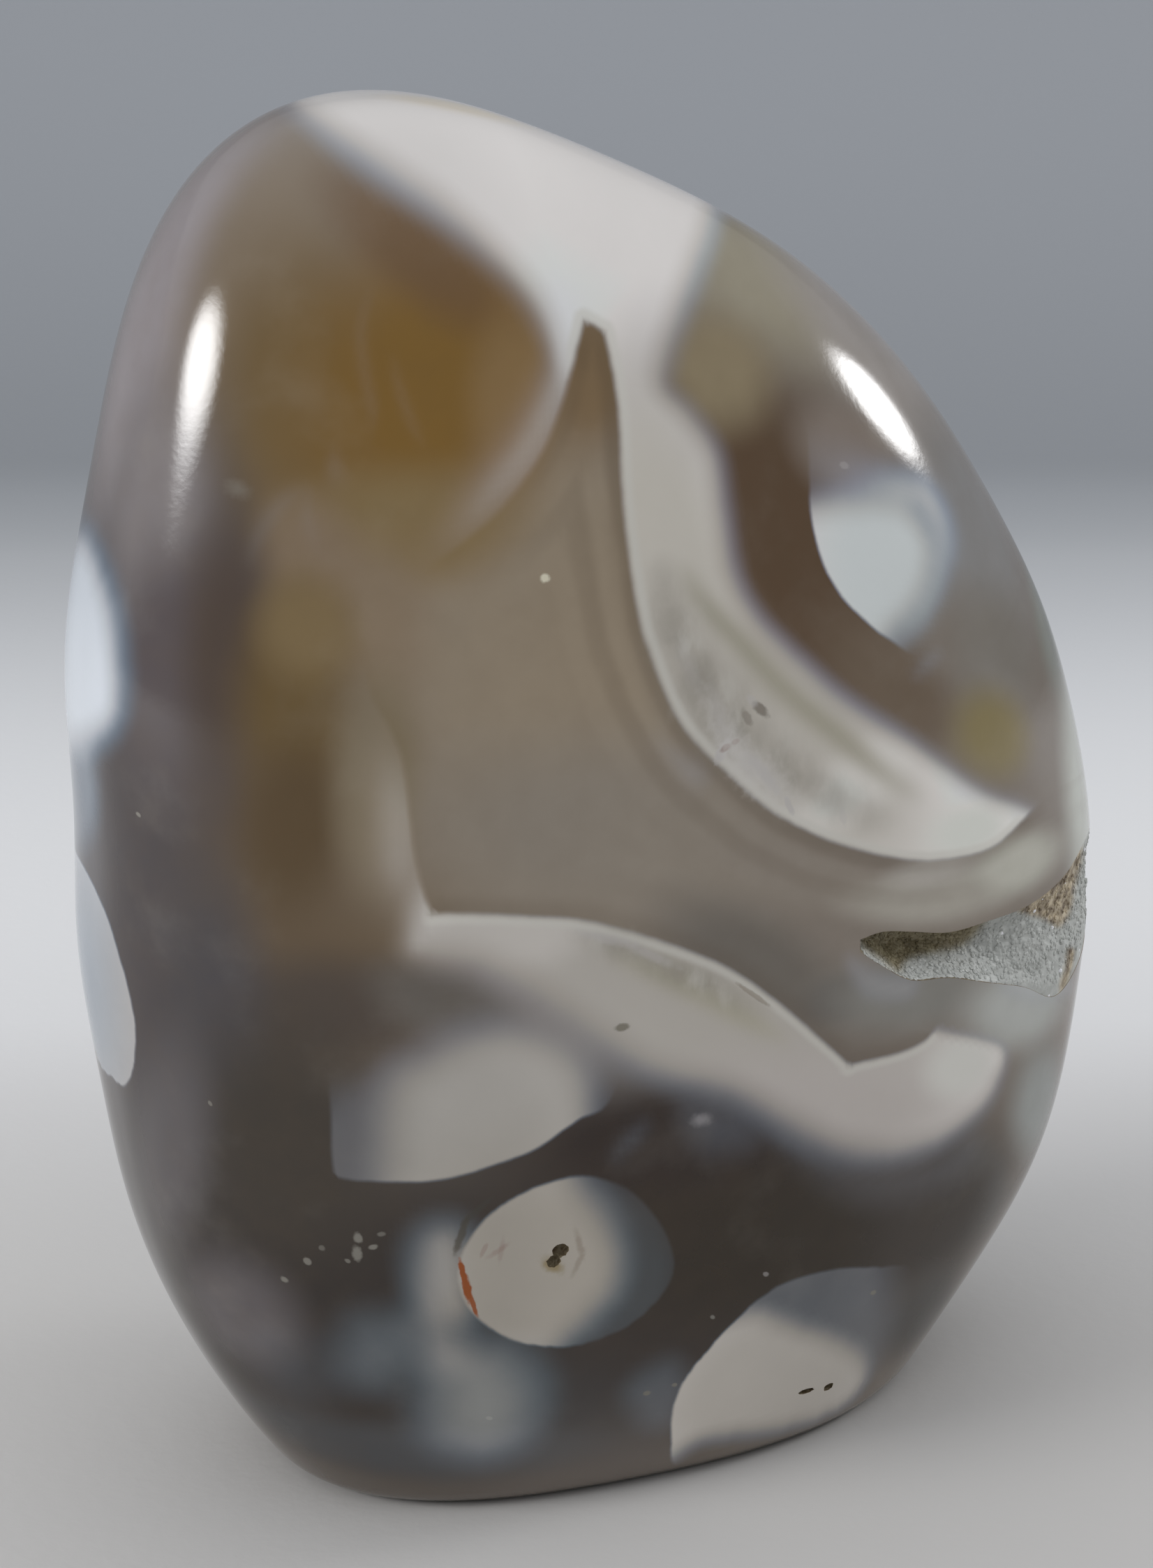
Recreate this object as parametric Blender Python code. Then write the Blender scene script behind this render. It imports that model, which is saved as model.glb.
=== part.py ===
"""Orca agate: one polished standing stone with a flat sawn base, and the druzy quartz crust that
lines the hollow in its right-hand edge. Metres, +Z up, origin under the middle of the base."""

import math
import random

import bmesh
import bpy
import numpy as np
from mathutils import Vector

MM = 0.001

# Front outline of the stone: its reach in millimetres from the waist point, at equal turns from +X
# towards +Z. The reaches that point down end below the base, which cuts the stone off flat.
OUTLINE_REACH_MM = (
    43.0, 41.4, 40.9, 41.9, 44.4, 47.7,
    52.3, 59.0, 58.8, 50.6, 44.8, 41.0,
    39.5, 40.7, 43.6, 49.0, 55.5, 61.0,
    63.4, 63.4, 57.9, 53.7, 49.1, 45.5,
)
WAIST_X = -2.52 * MM
WAIST_Y = -0.50 * MM
WAIST_HEIGHT = 51.0 * MM

# Thickness: half of it to the front and to the back of the waist point, less towards the top.
FRONT_HALF = 21.0 * MM
BACK_HALF = 22.0 * MM
TAPER = 0.08
ROUNDNESS = 2.5

# How the form's surface is found: the longest walk, how often it is halved, and the step of a slope.
LONGEST_WALK = 120.0 * MM
HALVINGS = 36
SLOPE_STEP = 0.01 * MM

# Faceting of the polished surface, and the rounded rim where it meets the base.
FACETS_PER_SIDE = 20
FACET_STRETCH = (42.0, 22.0, 55.0)
FACETS_CUBE = 2.0
BASE_RIM = 1.2 * MM
BASE_RIM_STEPS = 3
RIM_SNAP = 1.2 * MM
CUT_TOLERANCE = 0.001 * MM
SHARP_ANGLE = math.radians(35.0)

# The hollow: stations along its mouth, each with its bearing in degrees from the front towards the
# right, the height of its middle, half of its opening, and its depth.
HOLLOW_STATIONS = [
    (34.0, 45.0 * MM, 0.5 * MM, 0.7 * MM),
    (38.0, 44.3 * MM, 1.4 * MM, 2.2 * MM),
    (43.0, 43.1 * MM, 2.0 * MM, 3.6 * MM),
    (49.0, 42.3 * MM, 1.9 * MM, 3.8 * MM),
    (55.0, 41.5 * MM, 2.6 * MM, 3.8 * MM),
    (61.0, 40.6 * MM, 3.5 * MM, 4.0 * MM),
    (67.0, 39.7 * MM, 5.2 * MM, 4.2 * MM),
    (73.0, 40.9 * MM, 5.5 * MM, 4.2 * MM),
    (80.0, 41.9 * MM, 4.5 * MM, 3.6 * MM),
    (88.0, 42.6 * MM, 2.3 * MM, 2.2 * MM),
    (93.0, 42.8 * MM, 0.6 * MM, 0.7 * MM),
]
HOLLOW_STEPS_ALONG = 30
HOLLOW_STEPS_ACROSS = 8
HOLLOW_SKEW = 0.6
CUTTER_PROUD = 3.0 * MM

# The crust: its gap to the stone, its thickness, and the height of the crystal points on it.
CRUST_GAP = 0.45 * MM
CRUST_THICKNESS = 1.3 * MM
CRUST_SHARE_OF_DEPTH = 0.5
CRUST_FRAMES_SHORT = 2
CRYSTAL_HEIGHT = (0.3 * MM, 0.9 * MM)
CRYSTAL_SEED = 11

AGATE_COLOUR = (0.17, 0.14, 0.11)
AGATE_ROUGHNESS = 0.12
QUARTZ_COLOUR = (0.42, 0.40, 0.36)
QUARTZ_ROUGHNESS = 0.35


def clear_scene():
    """Remove what the file holds."""
    for thing in list(bpy.data.objects):
        bpy.data.objects.remove(thing, do_unlink=True)


def make_material(name, colour, roughness):
    """Make a plain Principled material."""
    material = bpy.data.materials.new(name)
    material.use_nodes = True
    shader = material.node_tree.nodes["Principled BSDF"]
    shader.inputs["Base Color"].default_value = (*colour, 1.0)
    shader.inputs["Roughness"].default_value = roughness
    shader.inputs["Metallic"].default_value = 0.0
    material.diffuse_color = (*colour, 1.0)
    return material


def add_object(name, mesh_data, material):
    """Turn an edit mesh into a named object with its own material."""
    mesh = bpy.data.meshes.new(name)
    mesh_data.to_mesh(mesh)
    mesh_data.free()
    mesh.materials.append(material)
    thing = bpy.data.objects.new(name, mesh)
    bpy.context.scene.collection.objects.link(thing)
    return thing


def outline_reach(angles):
    """Reach of the front outline at each angle: a smooth closed curve through the given reaches."""
    reach = np.array(OUTLINE_REACH_MM) * MM
    count = len(reach)
    places = 2.0 * np.pi * np.arange(count) / count
    result = np.full_like(angles, reach.mean())
    for wave in range(1, count // 2 + 1):
        share = 1.0 if wave == count // 2 else 2.0
        along = share / count * np.sum(reach * np.cos(wave * places))
        across = share / count * np.sum(reach * np.sin(wave * places))
        result = result + along * np.cos(wave * angles) + across * np.sin(wave * angles)
    return result


def form_value(points):
    """Below zero inside the stone's rounded form, zero on it, above zero outside."""
    aside = points[:, 0] - WAIST_X
    deep = points[:, 1] - WAIST_Y
    above = points[:, 2] - WAIST_HEIGHT
    half = np.where(deep < 0.0, FRONT_HALF, BACK_HALF) * (1.0 - TAPER * above / WAIST_HEIGHT)
    flat_share = np.hypot(aside, above) / outline_reach(np.arctan2(above, aside))
    deep_share = np.abs(deep) / half
    return flat_share ** ROUNDNESS + deep_share ** ROUNDNESS - 1.0


def form_points(starts, directions):
    """Walk from starts inside the stone along directions to its surface, by halving."""
    near = np.zeros(len(directions))
    far = np.full(len(directions), LONGEST_WALK)
    for _ in range(HALVINGS):
        middle = 0.5 * (near + far)
        inside = form_value(starts + directions * middle[:, None]) < 0.0
        near = np.where(inside, middle, near)
        far = np.where(inside, far, middle)
    return starts + directions * near[:, None]


def form_normals(points):
    """Outward normals of the form, from its slope."""
    steps = SLOPE_STEP * np.eye(3)
    slopes = np.stack([form_value(points + step) - form_value(points - step) for step in steps], axis=1)
    return slopes / np.linalg.norm(slopes, axis=1)[:, None]


def stone_mesh():
    """The rounded form from a cube with evenly spread facets, cut off flat at the base."""
    body = bmesh.new()
    bmesh.ops.create_cube(body, size=FACETS_CUBE)
    bmesh.ops.subdivide_edges(
        body, edges=body.edges[:], cuts=FACETS_PER_SIDE - 1, use_grid_fill=True)
    corners = np.array([vert.co[:] for vert in body.verts])
    directions = np.tan(corners * math.pi / 4.0)
    directions /= np.linalg.norm(directions, axis=1)[:, None]
    directions *= np.array(FACET_STRETCH)
    directions /= np.linalg.norm(directions, axis=1)[:, None]
    waist = np.array([WAIST_X, WAIST_Y, WAIST_HEIGHT])
    for vert, point in zip(body.verts, form_points(waist[None, :], directions)):
        vert.co = point
        if abs(vert.co.z - BASE_RIM) < RIM_SNAP:
            vert.co.z = BASE_RIM
    everything = body.verts[:] + body.edges[:] + body.faces[:]
    bmesh.ops.bisect_plane(
        body, geom=everything, dist=CUT_TOLERANCE, plane_co=(0, 0, BASE_RIM), plane_no=(0, 0, 1),
        clear_inner=True)
    round_off_base(body)
    bmesh.ops.recalc_face_normals(body, faces=body.faces[:])
    return body


def round_off_base(body):
    """Carry the open lower edge down and inwards around a quarter circle, and close it flat."""
    rim = [edge for edge in body.edges if edge.is_boundary]
    ring = list({vert for edge in rim for vert in edge.verts})
    middle = np.array([[WAIST_X, WAIST_Y, BASE_RIM]])
    outwards = np.array([vert.co[:] for vert in ring]) - middle
    outwards /= np.linalg.norm(outwards, axis=1)[:, None]
    edge_points = form_points(middle, outwards)
    inwards = -form_normals(edge_points)
    inwards[:, 2] = 0.0
    inwards /= np.linalg.norm(inwards, axis=1)[:, None]
    for vert, point in zip(ring, edge_points):
        vert.co = point
    starts = {}
    for vert, inward in zip(ring, inwards):
        starts[tuple(vert.co.to_2d())] = (vert.co.copy(), Vector(inward))
    for step in range(1, BASE_RIM_STEPS + 1):
        turn = 0.5 * math.pi * step / BASE_RIM_STEPS
        grown = bmesh.ops.extrude_edge_only(body, edges=rim)["geom"]
        edges = [item for item in grown if isinstance(item, bmesh.types.BMEdge)]
        rim = [edge for edge in edges if edge.is_boundary]
        carried = {}
        for vert in {vert for edge in rim for vert in edge.verts}:
            start, inward = starts[tuple(vert.co.to_2d())]
            vert.co = start + inward * BASE_RIM * (1.0 - math.cos(turn))
            vert.co.z = BASE_RIM * (1.0 - math.sin(turn))
            carried[tuple(vert.co.to_2d())] = (start, inward)
        starts = carried
    bmesh.ops.contextual_create(body, geom=rim)


def hollow_frames():
    """Places along the hollow's mouth: surface point, outward normal, half opening and depth."""
    stations = np.array(HOLLOW_STATIONS)
    travel = np.linspace(0.0, len(stations) - 1.0, HOLLOW_STEPS_ALONG + 1)
    bearing, height, half, depth = (smooth_through(column, travel) for column in stations.T)
    turn = np.radians(bearing)
    directions = np.stack([np.sin(turn), -np.cos(turn), np.zeros_like(turn)], axis=1)
    starts = np.stack([np.full_like(turn, WAIST_X), np.full_like(turn, WAIST_Y), height], axis=1)
    points = form_points(starts, directions)
    normals = form_normals(points)
    normals[:, 2] = 0.0
    normals /= np.linalg.norm(normals, axis=1)[:, None]
    return points, normals, half, depth


def smooth_through(values, travel):
    """Read a smooth curve through evenly numbered values at each place of travel."""
    padded = np.concatenate([[2 * values[0] - values[1]], values, [2 * values[-1] - values[-2]]])
    first = np.clip(np.floor(travel).astype(int), 0, len(values) - 2)
    part = travel - first
    before, start, end, after = (padded[first + shift] for shift in range(4))
    slope = end - before
    bend = 2 * before - 5 * start + 4 * end - after
    twist = 3 * start - before - 3 * end + after
    return start + 0.5 * (slope * part + bend * part ** 2 + twist * part ** 3)


def hollow_floor(across):
    """Share of the full depth from the upper lip (0) to the lower lip (1), deepest under the upper."""
    return math.sin(math.pi * across ** HOLLOW_SKEW)


def add_ring(mesh_data, point, normal, section):
    """Add a ring of vertices around a place of the mouth, from heights and distances outwards."""
    up = np.array([0.0, 0.0, 1.0])
    return [mesh_data.verts.new(point + normal * out + up * rise) for rise, out in section]


def bridge_rings(mesh_data, rings):
    """Join equal rings of vertices side by side, and close both ends."""
    for ring, following in zip(rings[:-1], rings[1:]):
        for index in range(len(ring)):
            after = (index + 1) % len(ring)
            mesh_data.faces.new((ring[index], ring[after], following[after], following[index]))
    mesh_data.faces.new(rings[0][::-1])
    mesh_data.faces.new(rings[-1])
    bmesh.ops.recalc_face_normals(mesh_data, faces=mesh_data.faces[:])


def hollow_cutter_mesh():
    """The space that the hollow takes out of the stone, standing proud of the surface."""
    cutter = bmesh.new()
    rings = []
    for point, normal, half, depth in zip(*hollow_frames()):
        section = [(half, CUTTER_PROUD)]
        for step in range(HOLLOW_STEPS_ACROSS + 1):
            across = step / HOLLOW_STEPS_ACROSS
            section.append((half * (1.0 - 2.0 * across), -depth * hollow_floor(across)))
        section.append((-half, CUTTER_PROUD))
        rings.append(add_ring(cutter, point, normal, section))
    bridge_rings(cutter, rings)
    return cutter


def crust_mesh():
    """The shell of quartz on the hollow's floor, its open side raised into crystal points."""
    crust = bmesh.new()
    rings = []
    frames = list(zip(*hollow_frames()))[CRUST_FRAMES_SHORT:-CRUST_FRAMES_SHORT]
    for point, normal, half, depth in frames:
        thickness = min(CRUST_THICKNESS, CRUST_SHARE_OF_DEPTH * depth)
        back = []
        front = []
        for step in range(HOLLOW_STEPS_ACROSS + 1):
            across = step / HOLLOW_STEPS_ACROSS
            up = (half - CRUST_GAP) * (1.0 - 2.0 * across)
            out = -(depth - CRUST_GAP) * hollow_floor(across)
            swell = thickness * math.sin(math.pi * across)
            back.append((up, out))
            front.append((up, out + swell))
        section = back + front[-2:0:-1]
        rings.append(add_ring(crust, point, normal, section))
    bridge_rings(crust, rings)
    raise_crystals(crust, rings)
    return crust


def raise_crystals(crust, rings):
    """Raise each face of the crust's open side into a four-sided point."""
    front_verts = {vert for ring in rings for vert in ring[HOLLOW_STEPS_ACROSS + 1:]}
    quads = [face for face in crust.faces if len(face.verts) == 4]
    front_faces = [face for face in quads if set(face.verts) <= front_verts]
    chance = random.Random(CRYSTAL_SEED)
    for face in front_faces:
        bmesh.ops.poke(crust, faces=[face], offset=chance.uniform(*CRYSTAL_HEIGHT))


def build_stone():
    """The agate, with the hollow cut into it."""
    agate = make_material("polished_agate", AGATE_COLOUR, AGATE_ROUGHNESS)
    stone = add_object("agate_stone", stone_mesh(), agate)
    stone.data.shade_smooth()
    stone.data.set_sharp_from_angle(angle=SHARP_ANGLE)
    cutter = add_object("hollow_cutter", hollow_cutter_mesh(), agate)
    cutter.hide_render = True
    cutter.display_type = 'WIRE'
    cut = stone.modifiers.new("hollow", 'BOOLEAN')
    cut.operation = 'DIFFERENCE'
    cut.solver = 'EXACT'
    cut.object = cutter
    return stone


def build_crust():
    """The druzy quartz in the hollow."""
    quartz = make_material("druzy_quartz", QUARTZ_COLOUR, QUARTZ_ROUGHNESS)
    return add_object("druzy_crust", crust_mesh(), quartz)


clear_scene()
build_stone()
build_crust()
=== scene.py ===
"""Orca agate standing stone: its markings, the quartz in its hollow, and a plain studio, all made
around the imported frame."""

import logging
import math
import random
from dataclasses import dataclass, field
from enum import Enum

import bmesh
import bpy
import numpy as np
from mathutils import Matrix, Vector, noise


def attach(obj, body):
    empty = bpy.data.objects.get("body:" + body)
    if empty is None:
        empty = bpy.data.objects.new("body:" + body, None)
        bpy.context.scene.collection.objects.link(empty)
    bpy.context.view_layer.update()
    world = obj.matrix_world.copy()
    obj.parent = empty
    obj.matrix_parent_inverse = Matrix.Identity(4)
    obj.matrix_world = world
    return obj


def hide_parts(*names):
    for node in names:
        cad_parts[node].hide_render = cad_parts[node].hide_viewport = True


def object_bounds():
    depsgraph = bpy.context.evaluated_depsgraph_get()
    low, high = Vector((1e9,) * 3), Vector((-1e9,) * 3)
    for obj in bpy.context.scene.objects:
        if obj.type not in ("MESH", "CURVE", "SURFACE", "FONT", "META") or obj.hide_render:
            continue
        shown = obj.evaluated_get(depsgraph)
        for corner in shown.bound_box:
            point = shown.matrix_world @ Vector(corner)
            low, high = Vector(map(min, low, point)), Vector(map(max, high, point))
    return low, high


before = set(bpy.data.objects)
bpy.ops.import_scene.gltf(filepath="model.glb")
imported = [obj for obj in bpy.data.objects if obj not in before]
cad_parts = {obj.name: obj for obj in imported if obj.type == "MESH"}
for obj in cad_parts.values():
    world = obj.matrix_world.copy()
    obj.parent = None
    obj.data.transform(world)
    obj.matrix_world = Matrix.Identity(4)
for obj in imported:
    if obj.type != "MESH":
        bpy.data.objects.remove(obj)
CAD_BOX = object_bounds()

LOG = logging.getLogger("orca_agate")
MM = 0.001
BODY = "root"
UP = np.array([0.0, 0.0, 1.0])

# Material slot of the faces that are cut into the stone.
CUT = 1
# How far outside an outline its distance is worth measuring, in millimetres on the map.
MARGIN = 14.0

Colour = tuple[float, float, float]
Outline = tuple[tuple[float, ...], ...]
Ribbon = tuple[tuple[float, float, float, float], ...]


def unit(vectors: np.ndarray) -> np.ndarray:
    """Scale each vector to length one."""
    return vectors / np.linalg.norm(vectors, axis=-1, keepdims=True)


def ease(values: np.ndarray, low: float, high: float) -> np.ndarray:
    """Rise smoothly from 0 at low to 1 at high.

    Args:
        values: Values to read.
        low: Where the rise starts.
        high: Where the rise ends.

    Returns:
        Shares between 0 and 1.
    """
    share = np.clip((values - low) / (high - low), 0.0, 1.0)
    return share * share * (3.0 - 2.0 * share)


def linear(red: int, green: int, blue: int) -> Colour:
    """Turn a display colour of 0 to 255 into the linear light that shaders use.

    Args:
        red: Red of the display colour.
        green: Green of the display colour.
        blue: Blue of the display colour.

    Returns:
        The linear colour.
    """
    shares = [part / 255.0 for part in (red, green, blue)]
    knee, slope, lift, power = 0.04045, 12.92, 0.055, 2.4
    return tuple(part / slope if part < knee else ((part + lift) / (1.0 + lift)) ** power for part in shares)


class Side(Enum):
    """Where an outline is drawn: on the photograph, or on the map of the back."""

    PHOTO = "photo"
    BACK = "back"


class Finish(Enum):
    """The record's material slots."""

    AGATE = "polished_agate"
    QUARTZ = "druzy_quartz"


def look(red: int, green: int, blue: int) -> Colour:
    """Light that the stone itself sends back, from how it looks with a grey room mirrored in its polish.

    Args:
        red: Red of the look, 0 to 255.
        green: Green of the look.
        blue: Blue of the look.

    Returns:
        The linear light without the mirrored part.
    """
    mirrored, darkest = (0.015, 0.017, 0.019), 0.002
    return tuple(max(part - gone, darkest) for part, gone in zip(linear(red, green, blue), mirrored))


def stone(red: int, green: int, blue: int) -> Colour:
    """Colour of the stone in the middle of its front, from how it looks there.

    Args:
        red: Red of the look, 0 to 255.
        green: Green of the look.
        blue: Blue of the look.

    Returns:
        The linear colour.
    """
    light_there = 0.68
    return tuple(part / light_there for part in look(red, green, blue))


@dataclass(frozen=True)
class Palette:
    """Colours that come back in many places."""

    white: Colour = look(202, 198, 195)
    haze: Colour = look(134, 137, 147)
    bare: Colour = look(110, 103, 96)
    bright: Colour = stone(186, 184, 177)
    cream: Colour = stone(168, 164, 156)
    frost: Colour = stone(148, 143, 134)
    frost_deep: Colour = stone(122, 117, 108)
    umber: Colour = stone(84, 72, 58)
    rust: Colour = stone(132, 72, 36)
    wall: Colour = stone(112, 104, 86)


@dataclass(frozen=True)
class PhotoView:
    """The camera that took the photograph, and what its pixels look along."""

    azimuth: float = math.radians(-25.0)
    elevation: float = math.radians(20.0)
    distance: float = 288.4 * MM
    lens: float = 85.0
    film: float = 36.0
    aim: tuple[float, float, float] = (-2.52 * MM, -0.5 * MM, 53.3 * MM)
    width: float = 1652.0
    height: float = 2247.0
    clip: tuple[float, float] = (0.01, 20.0)

    def axes(self) -> tuple[np.ndarray, np.ndarray, np.ndarray]:
        """Directions of the camera.

        Returns:
            Its right, its up and its backward direction.
        """
        turn, rise = self.azimuth, self.elevation
        back = np.array([math.sin(turn) * math.cos(rise), -math.cos(turn) * math.cos(rise), math.sin(rise)])
        right = np.array([math.cos(turn), math.sin(turn), 0.0])
        return right, np.cross(back, right), back

    def eye(self) -> np.ndarray:
        """Place of the camera."""
        return np.array(self.aim) + self.axes()[2] * self.distance

    def focus(self) -> float:
        """Distance in pixels at which one pixel is one unit wide."""
        return self.lens / self.film * self.height

    def scale(self) -> float:
        """Pixels to the millimetre at the stone's middle."""
        return self.focus() / self.distance * MM

    def looks(self, pixels: np.ndarray) -> np.ndarray:
        """Directions that pixels look along.

        Args:
            pixels: Places on the photograph, in its own pixels.

        Returns:
            One direction of length one for each pixel.
        """
        right, up, back = self.axes()
        focus = self.focus()
        aside = (pixels[:, :1] - self.width / 2) / focus
        above = (self.height / 2 - pixels[:, 1:2]) / focus
        return unit(aside * right + above * up - back)

    def pixels(self, points: np.ndarray) -> np.ndarray:
        """Find where points fall on the photograph.

        Args:
            points: Places in the row frame.

        Returns:
            Places on the photograph, in its own pixels.
        """
        right, up, back = self.axes()
        off = points - self.eye()
        focus = self.focus()
        away = -(off @ back)
        return np.stack([self.width / 2 + focus * (off @ right) / away,
                         self.height / 2 - focus * (off @ up) / away], axis=1)

    def build(self) -> bpy.types.Object:
        """Make the camera and look through it.

        Returns:
            The camera.
        """
        data = bpy.data.cameras.new("photo_camera")
        data.lens = self.lens
        data.sensor_fit = 'VERTICAL'
        data.sensor_height = self.film
        data.sensor_width = self.film
        data.clip_start, data.clip_end = self.clip
        data.dof.use_dof = False
        camera = bpy.data.objects.new("photo_camera", data)
        bpy.context.scene.collection.objects.link(camera)
        turned = Matrix([axis.tolist() for axis in self.axes()]).transposed().to_4x4()
        camera.matrix_world = Matrix.Translation(Vector(self.eye())) @ turned
        bpy.context.scene.camera = camera
        return camera


@dataclass
class StoneForm:
    """The stone's rounded form, before its base is sawn off."""

    reach_mm: tuple[float, ...] = (
        43.0, 41.4, 40.9, 41.9, 44.4, 47.7,
        52.3, 59.0, 58.8, 50.6, 44.8, 41.0,
        39.5, 40.7, 43.6, 49.0, 55.5, 61.0,
        63.4, 63.4, 57.9, 53.7, 49.1, 45.5,
    )
    waist: tuple[float, float, float] = (-2.52 * MM, -0.5 * MM, 51.0 * MM)
    front_half: float = 21.0 * MM
    back_half: float = 22.0 * MM
    taper: float = 0.08
    roundness: float = 2.5
    base_round: float = 2.4 * MM
    samples: int = 1440
    farthest: float = 120.0 * MM
    halvings: int = 34
    turns: np.ndarray = field(init=False)
    reaches: np.ndarray = field(init=False)

    def __post_init__(self) -> None:
        """Read the smooth outline once, at many turns."""
        reach = np.array(self.reach_mm) * MM
        count = len(reach)
        places = 2.0 * np.pi * np.arange(count) / count
        self.turns = np.linspace(-np.pi, np.pi, self.samples + 1)
        self.reaches = np.full_like(self.turns, reach.mean())
        for wave in range(1, count // 2 + 1):
            share = (1.0 if wave == count // 2 else 2.0) / count
            along = share * np.sum(reach * np.cos(wave * places))
            across = share * np.sum(reach * np.sin(wave * places))
            self.reaches += along * np.cos(wave * self.turns) + across * np.sin(wave * self.turns)

    def value(self, points: np.ndarray) -> np.ndarray:
        """Say how far points are inside or outside.

        Args:
            points: Places in the row frame.

        Returns:
            Below zero inside the form, zero on it, above zero outside.
        """
        aside, deep, above = (points - np.array(self.waist)).T
        half = np.where(deep < 0.0, self.front_half, self.back_half)
        half = half * (1.0 - self.taper * above / self.waist[2])
        flat_share = np.hypot(aside, above) / np.interp(np.arctan2(above, aside), self.turns, self.reaches)
        return flat_share ** self.roundness + (np.abs(deep) / half) ** self.roundness - 1.0

    def reach(self, starts: np.ndarray, directions: np.ndarray) -> np.ndarray:
        """Distances from starts inside the form to its surface, by halving.

        Args:
            starts: Places inside the form.
            directions: Directions of length one.

        Returns:
            One distance for each direction.
        """
        near = np.zeros(len(directions))
        far = np.full(len(directions), self.farthest)
        for _ in range(self.halvings):
            middle = 0.5 * (near + far)
            inside = self.value(starts + directions * middle[:, None]) < 0.0
            near = np.where(inside, middle, near)
            far = np.where(inside, far, middle)
        return near

    def normals(self, points: np.ndarray) -> np.ndarray:
        """Find which way the surface faces.

        Args:
            points: Places on or near the surface.

        Returns:
            One outward direction of length one for each point.
        """
        step = 0.02 * MM
        slopes = [self.value(points + step * axis) - self.value(points - step * axis) for axis in np.eye(3)]
        return unit(np.stack(slopes, axis=1))

    def sawn(self, directions: np.ndarray) -> tuple[np.ndarray, np.ndarray]:
        """Points of the stone with its flat base and rounded rim, seen from the waist.

        Args:
            directions: Directions from the waist.

        Returns:
            The points, and the share of each that belongs to the flat base.
        """
        form = self.reach(np.array([self.waist]), directions)
        least = 1e-6
        flat = self.waist[2] / np.maximum(-directions[:, 2], least)
        blend = np.clip(0.5 + 0.5 * (form - flat) / self.base_round, 0.0, 1.0)
        reach = form + (flat - form) * blend - self.base_round * blend * (1.0 - blend)
        reach = np.where(blend >= 1.0, flat, reach)
        return np.array(self.waist) + directions * reach[:, None], blend


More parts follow.
